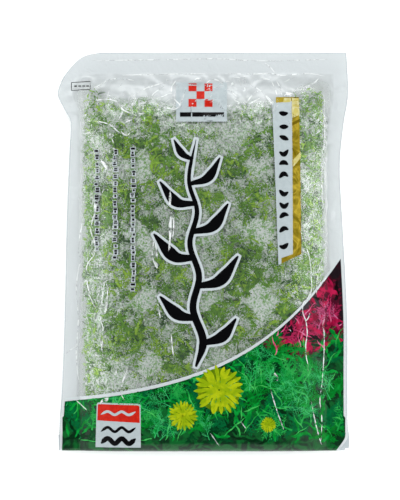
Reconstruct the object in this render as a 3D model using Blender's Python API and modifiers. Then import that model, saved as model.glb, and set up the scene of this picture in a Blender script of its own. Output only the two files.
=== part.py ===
"""A sealed clear pouch of salted green tosaka seaweed, lying on its back. Metres, +Z up.

The origin is on the surface the pouch lies on, under the middle of its outline. +Y points to the
pouch's top seal, and its printed front faces +Z. Two films are sealed together round the edge, the
seaweed between them is packed as bunches of forked fronds, and cakes of salt fill the corners
where the bunches meet.
"""

import math
import random

import bmesh
import bpy
from mathutils import Vector
from mathutils.bvhtree import BVHTree

# The pouch's outline
POUCH_LENGTH = 0.280
TOP_Y = POUCH_LENGTH / 2
FILM = 0.0005
SEAL_GAP = 0.0003
END_Y = -TOP_Y + FILM / 2
LEFT_EDGE = (
    (-0.140, -0.1020), (-0.128, -0.1016), (-0.098, -0.0995), (-0.045, -0.0975), (0.020, -0.0960),
    (0.072, -0.0940), (0.090, -0.0930), (0.103, -0.0990), (0.112, -0.1025), (0.121, -0.0990),
    (0.131, -0.0925), (0.140, -0.0840),
)
RIGHT_EDGE = (
    (-0.140, 0.0955), (-0.128, 0.1025), (-0.116, 0.1010), (-0.058, 0.1010), (0.020, 0.0975),
    (0.060, 0.0956), (0.090, 0.0983), (0.112, 0.1015), (0.140, 0.1005),
)

# The filled part, between the inner edges of the seals
FILL_HALF_WIDTH = 0.086
FILL_TOP_Y = 0.117
CREST_Y = 0.020
FRONT_RISE = 0.0160
FRONT_SQUARENESS = 5
BACK_SQUARENESS = 4
TOP_SQUARENESS = 3
END_RISE_SHARE = 0.65
END_EASE_Y = -0.090
FLAT_GAIN = 1.35

# The seals, which droop and wave outside the fill
SEAL_OUTER_X = 0.1025
SEAL_HEIGHT = 0.0066
HEADER_DROOP = 0.0036
SEAL_DROOP = 0.0020
SIDE_WAVE = 0.0009
SIDE_WAVE_LENGTH = 0.060
HEADER_WAVE = 0.0010
HEADER_WAVE_LENGTH = 0.078
RIGHT_PHASE = 1.7
HEADER_PHASE = 0.6

# The bottom end, where the films turn under and the bottom seal lies beneath the pouch
END_DEPTH_SHARE = 0.35
FIN_WIDTH = 0.009
FIN_FRONT_Z = 0.00055
FIN_BACK_Z = FIN_FRONT_Z + FILM + SEAL_GAP
BACK_LIFT_Y = -0.098
BACK_LIFT = 0.0026
BACK_LIFT_RUN = 0.024
TURN_CLEARANCE = 0.0011
TURN_SHARE = 0.55
FIN_BEND_GAP = 0.0006
END_TAPER = 0.010
TURN_STEPS = 5

# The grid that both films are bent from
COLUMNS = (
    -0.086, -0.080, -0.073, -0.062, -0.046, -0.024, 0.0, 0.024, 0.046, 0.062, 0.073, 0.080, 0.086,
)
SEAL_MARGIN = 0.006
ROWS = (
    0.140, 0.131, 0.123, 0.117, 0.110, 0.101, 0.088, 0.070, 0.046, 0.016, -0.016, -0.048, -0.076,
    -0.098, -0.115,
)

# The seaweed and the salt
SEED = 20
BUNCH_COLUMNS = 4
BUNCH_ROWS = 5
PACK_HALF_WIDTH = 0.0812
PACK_TOP_Y = 0.1075
PACK_BOTTOM_Y = -0.1275
PACK_CORNER = 0.018
BUNCH_WIDTH = 2 * PACK_HALF_WIDTH / BUNCH_COLUMNS
BUNCH_LENGTH = (PACK_TOP_Y - PACK_BOTTOM_Y) / BUNCH_ROWS
CELL_JITTER = 0.0058
SALT_REACH = 0.0095
CELL_GAP = 0.0006
FILM_CLEARANCE = 0.0006
FROND_RELIEF = 0.0019
RELIEF_SHARE = 0.30
FROND_SUNK = 0.0011
SUNK_SHARE = 0.35
LEVEL_SPREAD = 0.5
CORE_INSET = 0.0020
CORE_STEP = 0.013
CORE_LUMPS = 0.16
RIM_DROP = 0.0018
RIM_SHARE = 0.12
SALT_DEPTH = 0.0011
SALT_LUMPS = 0.8

# The fronds of a bunch
TOP_FRONDS = 4
UNDER_FRONDS = 1
FORKS = 2
START_SIZE = 0.75
STEM_SHARE = 0.42
STEM_START = 0.0045
SLENDERNESS = 0.11
FORK_ANGLE = (0.42, 0.66)
LIMB_LENGTH = (0.62, 0.86)
LIMB_WIDTH = 0.80
TOOTH_REACH = (0.9, 1.3)
HEADING_SPREAD = 0.2
TRIES = 12
SHRINK = 0.95


def clear_scene():
    """Removes what the startup scene holds."""
    for obj in list(bpy.data.objects):
        bpy.data.objects.remove(obj, do_unlink=True)


def material(name, colour, roughness, alpha=1.0):
    """A Principled material with this colour, roughness and alpha."""
    made = bpy.data.materials.new(name)
    made.use_nodes = True
    shader = made.node_tree.nodes["Principled BSDF"]
    shader.inputs["Base Color"].default_value = (*colour, 1.0)
    shader.inputs["Roughness"].default_value = roughness
    shader.inputs["Metallic"].default_value = 0.0
    shader.inputs["Alpha"].default_value = alpha
    return made


def eased(stops, at):
    """The value at a place along a list of (place, value) stops, with smooth steps between them."""
    if at <= stops[0][0]:
        return stops[0][1]
    for (a, low), (b, high) in zip(stops, stops[1:]):
        if at <= b:
            share = (at - a) / (b - a)
            return low + (high - low) * share * share * (3 - 2 * share)
    return stops[-1][1]


def ramp(start, end, at):
    """0 before start and 1 after end, along a straight line between them."""
    return min(1.0, max(0.0, (at - start) / (end - start)))


def fullness(x, y):
    """How full the pouch is at a point: 1 along the middle and 0 where the films meet."""
    across = 1 - min(1.0, abs(x) / FILL_HALF_WIDTH) ** FRONT_SQUARENESS
    upwards = 1 - ramp(CREST_Y, FILL_TOP_Y, y) ** TOP_SQUARENESS
    towards_end = 1 - (1 - END_RISE_SHARE) * ramp(END_EASE_Y, END_Y, y) ** 2
    return across * upwards * towards_end


def seal_height(x, y):
    """The height of the plane where the two films meet, which droops and waves outside the fill."""
    beside = ramp(FILL_HALF_WIDTH, SEAL_OUTER_X, abs(x))
    above = ramp(FILL_TOP_Y, TOP_Y, y)
    phase = RIGHT_PHASE if x > 0 else 0.0
    waves = SIDE_WAVE * beside * math.sin(math.tau * y / SIDE_WAVE_LENGTH + phase)
    waves += HEADER_WAVE * above * math.sin(math.tau * x / HEADER_WAVE_LENGTH + HEADER_PHASE)
    return SEAL_HEIGHT - SEAL_DROOP * beside * (1 - above) - HEADER_DROOP * above + waves


def front_height(x, y):
    """The height of the middle of the front film."""
    return seal_height(x, y) + (FILM + SEAL_GAP) / 2 + FRONT_RISE * fullness(x, y)


def back_height(x, y):
    """The height of the middle of the back film, which is flat where the pouch's weight rests."""
    seam = seal_height(x, y) - (FILM + SEAL_GAP) / 2
    across = 1 - min(1.0, abs(x) / FILL_HALF_WIDTH) ** BACK_SQUARENESS
    upwards = 1 - ramp(CREST_Y, FILL_TOP_Y, y) ** TOP_SQUARENESS
    pressed = min(1.0, FLAT_GAIN * across * upwards)
    resting = FILM / 2 + BACK_LIFT * (max(0.0, BACK_LIFT_Y - y) / BACK_LIFT_RUN) ** 2
    return seam + (min(resting, seam) - seam) * pressed


def end_depth(x):
    """How far the front film bulges past the point where it starts to turn under."""
    return END_DEPTH_SHARE * front_height(x, ROWS[-1])


def turned_under(outermost, depth, top, bottom, fin_end):
    """(y, z) down a half turn from the top to the bottom height, then along the fin to its end."""
    middle, radius = (top + bottom) / 2, (top - bottom) / 2
    turns = [math.pi * step / TURN_STEPS for step in range(TURN_STEPS + 1)]
    path = [(outermost + depth * (1 - math.sin(t)), middle + radius * math.cos(t)) for t in turns]
    return path + [(fin_end, bottom)]


def front_path(x):
    """(y, z) of the front film below the last row: round the end, under, and along the fin."""
    depth = end_depth(x)
    top = front_height(x, END_Y + depth)
    return turned_under(END_Y, depth, top, FIN_FRONT_Z, END_Y + depth + FIN_WIDTH)


def back_path(x):
    """(y, z) of the back film below the last row: to its own turn, inside the front film's."""
    outside = end_depth(x)
    outermost = END_Y + TURN_CLEARANCE + TURN_SHARE * outside
    depth = END_Y + outside + FIN_BEND_GAP - outermost
    top = back_height(x, outermost + depth)
    return turned_under(outermost, depth, top, FIN_BACK_Z, END_Y + outside + FIN_WIDTH)


def column_place(column, level):
    """x of a column of the films' grid at a level: at an edge, or inside and clear of both edges."""
    edges = {0: eased(LEFT_EDGE, level), len(COLUMNS) + 1: eased(RIGHT_EDGE, level)}
    if column in edges:
        return edges[column]
    x = COLUMNS[column - 1]
    edge = edges[0] if x < 0 else edges[len(COLUMNS) + 1]
    return x * min(1.0, (abs(edge) - SEAL_MARGIN) / FILL_HALF_WIDTH)


def film(name, height, path, finish):
    """One film: a grid bent to its heights, turned under at the bottom end, and given its thickness."""
    tail = len(path(0.0))
    mesh = bpy.data.meshes.new(name)
    grid = bmesh.new()
    lines = len(ROWS) + tail
    bmesh.ops.create_grid(grid, x_segments=len(COLUMNS) + 1, y_segments=lines - 1, size=1.0)
    for vertex in grid.verts:
        column = round((vertex.co.x + 1) / 2 * (len(COLUMNS) + 1))
        row = round((1 - vertex.co.y) / 2 * (lines - 1))
        step = row - len(ROWS)
        if step < 0:
            x, y = column_place(column, ROWS[row]), ROWS[row]
            vertex.co = (x, y, height(x, y))
        else:
            x = column_place(column, -TOP_Y + END_TAPER * (1 - step / tail))
            vertex.co = (x, *path(x)[step])
    bmesh.ops.recalc_face_normals(grid, faces=grid.faces[:])
    grid.to_mesh(mesh)
    grid.free()
    obj = bpy.data.objects.new(name, mesh)
    thick = obj.modifiers.new("film thickness", "SOLIDIFY")
    thick.thickness = FILM
    thick.offset = 0.0
    thick.use_even_offset = True
    mesh.materials.append(finish)
    mesh.shade_smooth()
    return obj


def surface_of(obj):
    """A search tree of an object's evaluated surface."""
    return BVHTree.FromObject(obj, bpy.context.evaluated_depsgraph_get())


def room_between(front, back):
    """A function giving the lowest and highest free height at a point, between the two films."""
    above, below = surface_of(front), surface_of(back)

    def room(x, y):
        middle = Vector((x, y, (front_height(x, y) + back_height(x, y)) / 2))
        ceiling = above.ray_cast(middle, Vector((0, 0, 1)))[0]
        floor = below.ray_cast(middle, Vector((0, 0, -1)))[0]
        return floor.z + FILM_CLEARANCE, ceiling.z - FILM_CLEARANCE

    return room


def halved(polygon, point, outward):
    """The part of a convex polygon on the inner side of a line."""
    kept = []
    for a, b in zip(polygon, polygon[1:] + polygon[:1]):
        side_a, side_b = (a - point).dot(outward), (b - point).dot(outward)
        if side_a <= 0:
            kept.append(a)
        if side_a * side_b < 0:
            kept.append(a + (b - a) * (side_a / (side_a - side_b)))
    return kept


def pack_outline():
    """The outline that the seaweed fills, a rectangle with its corners taken off."""
    w, low, high, c = PACK_HALF_WIDTH, PACK_BOTTOM_Y, PACK_TOP_Y, PACK_CORNER
    half = [(w - c / 2, low), (w, low + c / 2), (w, high - c), (w - c, high)]
    return [Vector(corner) for corner in half] + [Vector((-x, y)) for x, y in reversed(half)]


def cell_seeds(rng):
    """The middles of the bunches on a jittered grid, then of the salt, each between four bunches."""
    grid = []
    for row in range(BUNCH_ROWS):
        y = PACK_BOTTOM_Y + BUNCH_LENGTH * (row + 0.5)
        places = [-PACK_HALF_WIDTH + BUNCH_WIDTH * (c + 0.5) for c in range(BUNCH_COLUMNS)]
        jitter = [Vector((rng.uniform(-1, 1), rng.uniform(-1, 1))) * CELL_JITTER for _ in places]
        grid.append([Vector((x, y)) + moved for x, moved in zip(places, jitter)])
    salts = [
        (low[c] + low[c + 1] + high[c] + high[c + 1]) / 4
        for low, high in zip(grid, grid[1:]) for c in range(BUNCH_COLUMNS - 1)
    ]
    return [seed for line in grid for seed in line], salts


def cell_of(seed, seeds, lead):
    """The convex cell round a seed, whose side towards each other seed is moved outward by its lead.

    lead(seed, other) is how much larger the square of the seed's reach is than that of the other.
    """
    cell = pack_outline()
    for other in seeds:
        if other is seed:
            continue
        apart = other - seed
        distance = apart.length
        line = (distance ** 2 + lead(seed, other)) / (2 * distance)
        outward = apart / distance
        cell = halved(cell, seed + outward * (line - CELL_GAP / 2), outward)
    return cell


def inset(polygon, amount):
    """A convex polygon with each side moved in."""
    moved = list(polygon)
    for a, b in zip(polygon, polygon[1:] + polygon[:1]):
        along = (b - a).normalized()
        outward = Vector((along.y, -along.x))
        moved = halved(moved, a - outward * amount, outward)
    return moved


def inside(polygon, point):
    """True if a point is inside a convex polygon whose corners run anticlockwise."""
    return all((b - a).cross(point - a) > 0 for a, b in zip(polygon, polygon[1:] + polygon[:1]))


def stepped(polygon, step):
    """A polygon with points added so that no side is longer than the step."""
    points = []
    for a, b in zip(polygon, polygon[1:] + polygon[:1]):
        parts = max(1, round((b - a).length / step))
        points += [a + (b - a) * (i / parts) for i in range(parts)]
    return points


def mesh_object(name, bm, finish):
    """An object made from a bmesh, with its normals outward."""
    bmesh.ops.recalc_face_normals(bm, faces=bm.faces[:])
    mesh = bpy.data.meshes.new(name)
    bm.to_mesh(mesh)
    bm.free()
    mesh.materials.append(finish)
    return bpy.data.objects.new(name, mesh)


def relief_at(low, high):
    """How far the fronds stand out of the core where there is this much room."""
    return min(FROND_RELIEF, RELIEF_SHARE * (high - low))


def packed_core(name, cell, room, rng, lumps, finish, relief):
    """A body that fills a cell between the films, lumpy, and lower than the films by the relief."""
    bm = bmesh.new()
    face = bm.faces.new([bm.verts.new((*point, 0.0)) for point in stepped(cell, CORE_STEP)])
    rim = {(vertex.co.x, vertex.co.y) for vertex in bm.verts}
    poked = bmesh.ops.poke(bm, faces=[face])
    spokes = list(poked["verts"][0].link_edges)
    bmesh.ops.subdivide_edges(bm, edges=spokes, cuts=1)
    bmesh.ops.triangulate(bm, faces=bm.faces[:])
    lower = bm.verts[:]
    upper = bmesh.ops.extrude_face_region(bm, geom=bm.faces[:])["geom"]
    upper = [part for part in upper if isinstance(part, bmesh.types.BMVert)]
    for vertices, is_top in ((lower, False), (upper, True)):
        for vertex in vertices:
            low, high = room(vertex.co.x, vertex.co.y)
            depth = relief(low, high) * (1 + lumps * rng.uniform(-1.0, 1.0))
            if (vertex.co.x, vertex.co.y) in rim:
                depth += min(RIM_DROP, RIM_SHARE * (high - low))
            vertex.co.z = high - depth if is_top else low + depth
    return mesh_object(name, bm, finish)


def lobe(rng, base, heading, length, width, forks):
    """The outline of a blade that forks, from its left foot to its right, with teeth on its margins."""
    along = Vector((math.cos(heading), math.sin(heading)))
    across = Vector((-along.y, along.x))
    tip = base + along * length
    if forks == 0:
        lean = rng.uniform(-0.4, 0.4)
        return [
            base + along * length * 0.62 + across * width * 0.80,
            tip + across * width * lean,
            base + along * length * 0.55 - across * width * 0.75,
        ]
    spread = rng.uniform(*FORK_ANGLE)
    left, right = (
        lobe(rng, tip + across * width * 0.42 * side, heading + spread * side,
             length * rng.uniform(*LIMB_LENGTH), width * LIMB_WIDTH, forks - 1)
        for side in (1, -1)
    )
    crotch = tip + along * width * 0.45
    tooth = base + along * length * 0.6 + across * width * rng.uniform(*TOOTH_REACH)
    return [tooth, *left, crotch, *right]


def frond_outline(rng, base, heading, size):
    """A whole frond's outline from its foot: a stem that forks, and forks again."""
    across = Vector((-math.sin(heading), math.cos(heading)))
    width = size * SLENDERNESS
    blade = lobe(rng, base, heading, size * STEM_SHARE, width, FORKS)
    return [base + across * width * 0.6, *blade, base - across * width * 0.6]


def crosses_itself(points):
    """True if any two sides of an outline that don't share a corner cross."""
    sides = list(zip(points, points[1:] + points[:1]))
    for i, (a, b) in enumerate(sides):
        for c, d in sides[i + 2: len(sides) - (i == 0)]:
            if (b - a).cross(c - a) * (b - a).cross(d - a) < 0 and (
                (d - c).cross(a - c) * (d - c).cross(b - c) < 0
            ):
                return True
    return False


def fitted_frond(rng, cell, foot, heading):
    """A frond's outline that lies inside a cell: it is drawn again, smaller, until it does."""
    size = max((a - b).length for a in cell for b in cell) * START_SIZE
    while True:
        for _ in range(TRIES):
            turned = heading + rng.uniform(-HEADING_SPREAD, HEADING_SPREAD)
            outline = frond_outline(rng, foot, turned, size)
            if all(inside(cell, point) for point in outline) and not crosses_itself(outline):
                return outline
        size *= SHRINK


def frond(name, outline, room, level, is_top, finish):
    """A blade of this outline lying against a film, level under it, with its root in the core."""
    bm = bmesh.new()
    face = bm.faces.new([bm.verts.new((*point, 0.0)) for point in outline])
    bmesh.ops.triangulate(bm, faces=[face])
    near = bm.verts[:]
    far = bmesh.ops.extrude_face_region(bm, geom=bm.faces[:])["geom"]
    far = [part for part in far if isinstance(part, bmesh.types.BMVert)]
    for vertices, sunk in ((near, False), (far, True)):
        for vertex in vertices:
            low, high = room(vertex.co.x, vertex.co.y)
            relief = relief_at(low, high)
            depth = relief * level
            if sunk:
                depth = relief + min(FROND_SUNK, SUNK_SHARE * (high - low - 2 * relief))
            vertex.co.z = high - depth if is_top else low + depth
    return mesh_object(name, bm, finish)


def join(core, pieces, collection):
    """Fuses the pieces into the core by one Boolean union, which is applied."""
    scrap = bpy.data.collections.new(core.name + " fronds")
    bpy.context.scene.collection.children.link(scrap)
    for piece in pieces:
        scrap.objects.link(piece)
    collection.objects.link(core)
    union = core.modifiers.new("fronds", "BOOLEAN")
    union.operand_type = "COLLECTION"
    union.collection = scrap
    union.operation = "UNION"
    bpy.context.view_layer.update()
    graph = bpy.context.evaluated_depsgraph_get()
    fused = bpy.data.meshes.new_from_object(core.evaluated_get(graph))
    core.modifiers.clear()
    core.data = fused
    for piece in pieces:
        bpy.data.objects.remove(piece, do_unlink=True)
    bpy.data.collections.remove(scrap)


def tuft(name, cell, room, rng, collection, finish):
    """Makes one bunch of seaweed: a core with forked fronds standing out of it, above and below."""
    core = packed_core(name, inset(cell, CORE_INSET), room, rng, CORE_LUMPS, finish, relief_at)
    middle = sum(cell, Vector((0, 0))) / len(cell)
    turn = rng.uniform(0, 2 * math.pi)
    pieces = []
    for is_top, count in ((True, TOP_FRONDS), (False, UNDER_FRONDS)):
        for number in range(count):
            heading = turn + 2 * math.pi * (number + rng.uniform(-0.12, 0.12)) / count
            foot = middle - Vector((math.cos(heading), math.sin(heading))) * STEM_START
            outline = fitted_frond(rng, cell, foot, heading)
            level = LEVEL_SPREAD * number / count
            pieces.append(frond(f"{name} frond {len(pieces)}", outline, room, level, is_top, finish))
    join(core, pieces, collection)


def salt_cake(name, cell, room, rng, finish):
    """A cake of salt that fills a small cell nearly up to the films, with a lumpy face."""
    return packed_core(name, cell, room, rng, SALT_LUMPS, finish, lambda low, high: SALT_DEPTH)


def build():
    """Makes the pouch and everything in it."""
    clear_scene()
    pouch = bpy.data.collections.new("salted tosaka pouch")
    bpy.context.scene.collection.children.link(pouch)
    clear_film = material("clear film", (0.78, 0.84, 0.85), 0.12, alpha=0.35)
    seaweed = material("green seaweed", (0.14, 0.30, 0.07), 0.5)
    salt = material("salt", (0.74, 0.78, 0.76), 0.7)

    front = film("film_front", front_height, front_path, clear_film)
    back = film("film_back", back_height, back_path, clear_film)
    for obj in (front, back):
        pouch.objects.link(obj)
    bpy.context.view_layer.update()
    room = room_between(front, back)

    rng = random.Random(SEED)
    bunches, salts = cell_seeds(rng)
    salty = {id(seed) for seed in salts}
    apart = math.hypot(BUNCH_WIDTH, BUNCH_LENGTH) / 2
    bunch_lead = apart ** 2 - 2 * apart * SALT_REACH

    def lead(seed, other):
        return bunch_lead * ((id(other) in salty) - (id(seed) in salty))

    for number, seed in enumerate(bunches, 1):
        cell = cell_of(seed, bunches + salts, lead)
        tuft(f"tuft_{number:02d}", cell, room, rng, pouch, seaweed)
    for number, seed in enumerate(salts, 1):
        cell = cell_of(seed, bunches + salts, lead)
        pouch.objects.link(salt_cake(f"salt_{number:02d}", cell, room, rng, salt))


build()
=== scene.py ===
import logging
import math
import random
from collections.abc import Callable, Iterator, Sequence
from dataclasses import dataclass, field
from enum import Enum
from functools import lru_cache
from typing import Any

import bmesh
import bpy
import numpy as np
from mathutils import Euler, Matrix, Vector
from mathutils.bvhtree import BVHTree
from mathutils.geometry import convex_hull_2d


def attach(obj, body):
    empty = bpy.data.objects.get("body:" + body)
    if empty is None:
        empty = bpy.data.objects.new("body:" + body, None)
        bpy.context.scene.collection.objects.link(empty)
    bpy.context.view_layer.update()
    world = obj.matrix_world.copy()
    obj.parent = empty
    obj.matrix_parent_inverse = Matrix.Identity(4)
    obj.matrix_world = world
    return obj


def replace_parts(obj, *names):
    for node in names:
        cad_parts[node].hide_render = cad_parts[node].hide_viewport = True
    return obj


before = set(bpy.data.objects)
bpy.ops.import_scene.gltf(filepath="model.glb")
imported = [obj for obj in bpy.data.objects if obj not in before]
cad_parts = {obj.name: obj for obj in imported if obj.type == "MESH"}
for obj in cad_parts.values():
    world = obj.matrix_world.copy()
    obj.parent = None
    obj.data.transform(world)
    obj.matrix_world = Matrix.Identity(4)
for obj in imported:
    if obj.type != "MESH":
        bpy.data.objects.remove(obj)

LOG = logging.getLogger("tosaka_pouch")
MM = 0.001
BODY = "root"
BUNCHES = 20
CAKES = 12

# One pixel of the picture in millimetres, and the pixel at the middle of the pouch.
PHOTO_MM = 0.7
PHOTO_MIDDLE = (203.5, 252.0)

# How bright the studio shows a surface in the open, and how bright one under the film.
STUDIO_LEVEL = 1.68
UNDER_FILM_LEVEL = 0.57

# How many values a noise has each way before it repeats.
NOISE_SIDE = 64

Colour = tuple[float, float, float]
Place = tuple[float, float]
Stops = tuple[Place, ...]
Trace = Sequence[Place]
Field = Callable[[np.ndarray, np.ndarray], np.ndarray]
Profile = Callable[[np.ndarray], np.ndarray]
Settle = Callable[[np.ndarray, np.ndarray, np.ndarray], np.ndarray]
Wanted = Callable[[float, float], bool]


def spot(column: float, row: float) -> Place:
    """Millimetres on the pouch of a place given in the picture's pixels."""
    return (column - PHOTO_MIDDLE[0]) * PHOTO_MM, (PHOTO_MIDDLE[1] - row) * PHOTO_MM


def ink(red: float, green: float, blue: float) -> Colour:
    """Linear colour that looks like this screen colour, from 0 to 255, in the studio's light."""
    linear = (((c / 255 + 0.055) / 1.055) ** 2.4 if c > 10 else c / 3295 for c in (red, green, blue))
    return tuple(value / STUDIO_LEVEL for value in linear)


def under_film(red: float, green: float, blue: float) -> Colour:
    """Linear colour that looks like this screen colour when it lies in the pouch, under the film."""
    return tuple(min(0.95, value * STUDIO_LEVEL / UNDER_FILM_LEVEL) for value in ink(red, green, blue))


@lru_cache(maxsize=None)
def noise_table(seed: int) -> np.ndarray:
    """The random values that one noise runs between."""
    return np.random.default_rng(seed).random((NOISE_SIDE, NOISE_SIDE))


def value_noise(x: np.ndarray, y: np.ndarray, cell: float, seed: int) -> np.ndarray:
    """Smooth noise from 0 to 1 over a plane.

    Args:
        x: Places across.
        y: Places along.
        cell: Distance between the noise's own values.
        seed: Which noise.

    Returns:
        The noise at each place.
    """
    table = noise_table(seed)
    gx, gy = np.asarray(x) / cell, np.asarray(y) / cell
    ix, iy = np.floor(gx).astype(int), np.floor(gy).astype(int)
    fx, fy = gx - ix, gy - iy
    fx, fy = fx * fx * (3 - 2 * fx), fy * fy * (3 - 2 * fy)
    left, right, lower, upper = (place % NOISE_SIDE for place in (ix, ix + 1, iy, iy + 1))
    low = table[left, lower] * (1 - fx) + table[right, lower] * fx
    high = table[left, upper] * (1 - fx) + table[right, upper] * fx
    return low * (1 - fy) + high * fy


def layered_noise(x: np.ndarray, y: np.ndarray, cell: float, seed: int, layers: int = 3) -> np.ndarray:
    """Noise from 0 to 1 in which finer layers are added to a coarse one.

    Args:
        x: Places across.
        y: Places along.
        cell: Size of the coarsest layer.
        seed: Which noise.
        layers: How many layers, each half as large as the last.

    Returns:
        The noise at each place.
    """
    total = sum(value_noise(x, y, cell / 2 ** i, seed + i) / 2 ** i for i in range(layers))
    return total / sum(1 / 2 ** i for i in range(layers))


def ramp(low: float, high: float, at: np.ndarray) -> np.ndarray:
    """0 below low, 1 above high, and straight between them."""
    return np.clip((np.asarray(at, float) - low) / (high - low), 0.0, 1.0)


def eased(low: float, high: float, at: np.ndarray) -> np.ndarray:
    """0 below low, 1 above high, and smooth between them."""
    share = ramp(low, high, at)
    return share * share * (3 - 2 * share)


def smooth_line(points: Trace, step: float) -> np.ndarray:
    """A smooth curve through points, with a place about every step.

    Args:
        points: Places that the curve runs through.
        step: Distance between the curve's own places.

    Returns:
        The curve's places, one a row.
    """
    given = np.asarray(points, float)
    before, after = 2 * given[0] - given[1], 2 * given[-1] - given[-2]
    ends = np.vstack([before, given, after])
    line = []
    for a, b, c, d in zip(ends, ends[1:], ends[2:], ends[3:]):
        parts = max(1, round(float(np.hypot(*(c - b))) / step))
        for t in np.arange(parts) / parts:
            line.append(0.5 * (2 * b + (c - a) * t + (2 * a - 5 * b + 4 * c - d) * t ** 2
                               + (3 * b - a - 3 * c + d) * t ** 3))
    return np.vstack([line, given[-1:]])


def traced(places: Trace, step: float) -> np.ndarray:
    """A smooth curve through places given in the picture's pixels."""
    return smooth_line([spot(*place) for place in places], step)


def walk(start: np.ndarray, turns: np.ndarray, step: float = 1.0) -> np.ndarray:
    """The places reached from a start by one step in each of these directions."""
    return start + np.cumsum(np.stack([np.cos(turns), np.sin(turns)], axis=1), axis=0) * step


def leading(line: np.ndarray, kept: np.ndarray) -> np.ndarray:
    """The part of a line before its first place that isn't kept."""
    return line[: len(line) if kept.all() else int(np.argmin(kept))]


@dataclass(frozen=True)
class PouchForm:
    """The pouch's shape in millimetres: the surfaces that its solids have, and the film's folds."""

    width: float = 200.0
    top_y: float = 140.0
    film: float = 0.5
    seal_gap: float = 0.3
    left_edge: Stops = (
        (-140, -102.0), (-128, -101.6), (-98, -99.5), (-45, -97.5), (20, -96.0), (72, -94.0), (90, -93.0),
        (102, -98.6), (111, -102.5), (120, -99.8), (131, -92.0), (136, -86.6), (138.6, -81.0), (140, -73.0),
    )
    right_edge: Stops = (
        (-140, 95.5), (-128, 102.5), (-116, 101.0), (-58, 101.0), (20, 97.5), (60, 95.6),
        (90, 98.3), (112, 101.5), (140, 100.5),
    )
    crown_edge: Stops = (
        (-88, 111.0), (-76, 112.5), (-66, 106.0), (-56, 102.5), (-40, 105.0), (-26, 100.0), (-6, 97.0),
        (14, 98.0), (34, 101.5), (50, 102.0), (60, 106.0), (70, 113.5), (80, 116.0), (88, 114.0),
    )
    crown_rag: float = 5.0
    crown_rag_size: float = 3.5
    fill_half_width: float = 86.0
    fill_top_y: float = 117.0
    crest_y: float = 20.0
    front_rise: float = 16.0
    taper_y: float = -90.0
    taper_share: float = 0.35
    seal_height: float = 6.6
    seal_reach: float = 102.5
    side_drop: float = 2.0
    top_drop: float = 3.6
    side_wave: float = 0.9
    side_wave_length: float = 60.0
    side_wave_lead: float = 1.7
    top_wave: float = 1.0
    top_wave_length: float = 78.0
    top_wave_lead: float = 0.6
    back_flare: float = 1.35
    heel_y: float = -98.0
    heel_length: float = 24.0
    heel_rise: float = 2.6
    header_fold: float = 1.7
    header_fold_size: float = 11.0
    header_folds_from: Place = (84.0, 100.0)
    header_folds_to: Place = (121.0, 126.0)
    header_folds_beside: Place = (80.0, 88.0)
    dent: float = 0.55
    dent_size: float = 12.0
    pleat: float = 0.9
    pleat_size: float = 9.0
    pleats_from: Place = (76.0, 83.0)
    pleats_to: Place = (88.0, 94.0)
    pleats_top: Place = (90.0, 110.0)
    last_row: float = -115.0
    turn_share: float = 0.35
    fin_width: float = 9.0
    fin_front_z: float = 0.55
    fin_back_z: float = 1.35
    front_clearance: float = 0.55
    back_clearance: float = 0.25
    least_depth: float = 0.05
    deepest_share: float = 0.42
    swoop_foot: float = -104.0
    swoop_rises: tuple[float, float, float] = (20.0, 28.0, 58.0)
    crimson_middle: float = -60.0
    crimson_lean: float = 0.35
    crimson_slope: float = 0.1

    @property
    def end_y(self) -> float:
        """Where the front film is farthest out at the bottom end."""
        return -self.top_y + self.film / 2

    @staticmethod
    def edge(stops: Stops, at: np.ndarray) -> np.ndarray:
        """Value of one of the edge curves, which never swings past its stops.

        Args:
            stops: Pairs of a place and the curve's value there, such as a y and a side's x.
            at: Places at which it is read.

        Returns:
            The curve's value at each place.
        """
        places, values = np.array(stops, float).T
        slopes = np.diff(values) / np.diff(places)
        product = slopes[:-1] * slopes[1:]
        bends = np.where(product > 0, 2 * product / np.where(product > 0, slopes[:-1] + slopes[1:], 1.0), 0.0)
        tangents = np.concatenate([slopes[:1], bends, slopes[-1:]])
        at = np.asarray(at, float)
        pick = np.clip(np.searchsorted(places, at) - 1, 0, len(places) - 2)
        length = places[pick + 1] - places[pick]
        t = np.clip((at - places[pick]) / length, 0, 1)
        rise = values[pick + 1] - values[pick]
        start, end = tangents[pick] * length, tangents[pick + 1] * length
        return values[pick] + rise * t * t * (3 - 2 * t) + start * t * (1 - t) ** 2 - end * t * t * (1 - t)

    def row(self, y: float, share: np.ndarray) -> np.ndarray:
        """x of places that lie these shares of the way from the left edge to the right edge."""
        left, right = self.edge(self.left_edge, y), self.edge(self.right_edge, y)
        return left + (right - left) * share

    def seal(self, x: np.ndarray, y: np.ndarray) -> np.ndarray:
        """Height of the plane where the two films meet."""
        beside = ramp(self.fill_half_width, self.seal_reach, np.abs(x))
        above = ramp(self.fill_top_y, self.top_y, y)
        lead = np.where(np.asarray(x) > 0, self.side_wave_lead, 0.0)
        waves = self.side_wave * beside * np.sin(math.tau * y / self.side_wave_length + lead)
        across = math.tau * x / self.top_wave_length + self.top_wave_lead
        waves = waves + self.top_wave * above * np.sin(across)
        return self.seal_height - self.side_drop * beside * (1 - above) - self.top_drop * above + waves

    def bulge(self, x: np.ndarray, y: np.ndarray, power: int) -> np.ndarray:
        """1 over the fill and 0 at the side and top seals, and the squarer the higher the power."""
        across = 1 - np.minimum(1.0, np.abs(x) / self.fill_half_width) ** power
        return across * (1 - ramp(self.crest_y, self.fill_top_y, y) ** 3)

    def fullness(self, x: np.ndarray, y: np.ndarray) -> np.ndarray:
        """How full the pouch is: 1 along its middle, 0 at its seals."""
        taper = ramp(0, self.taper_y - self.end_y, self.taper_y - np.asarray(y, float)) ** 2
        return self.bulge(x, y, 5) * (1 - self.taper_share * taper)

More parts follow.
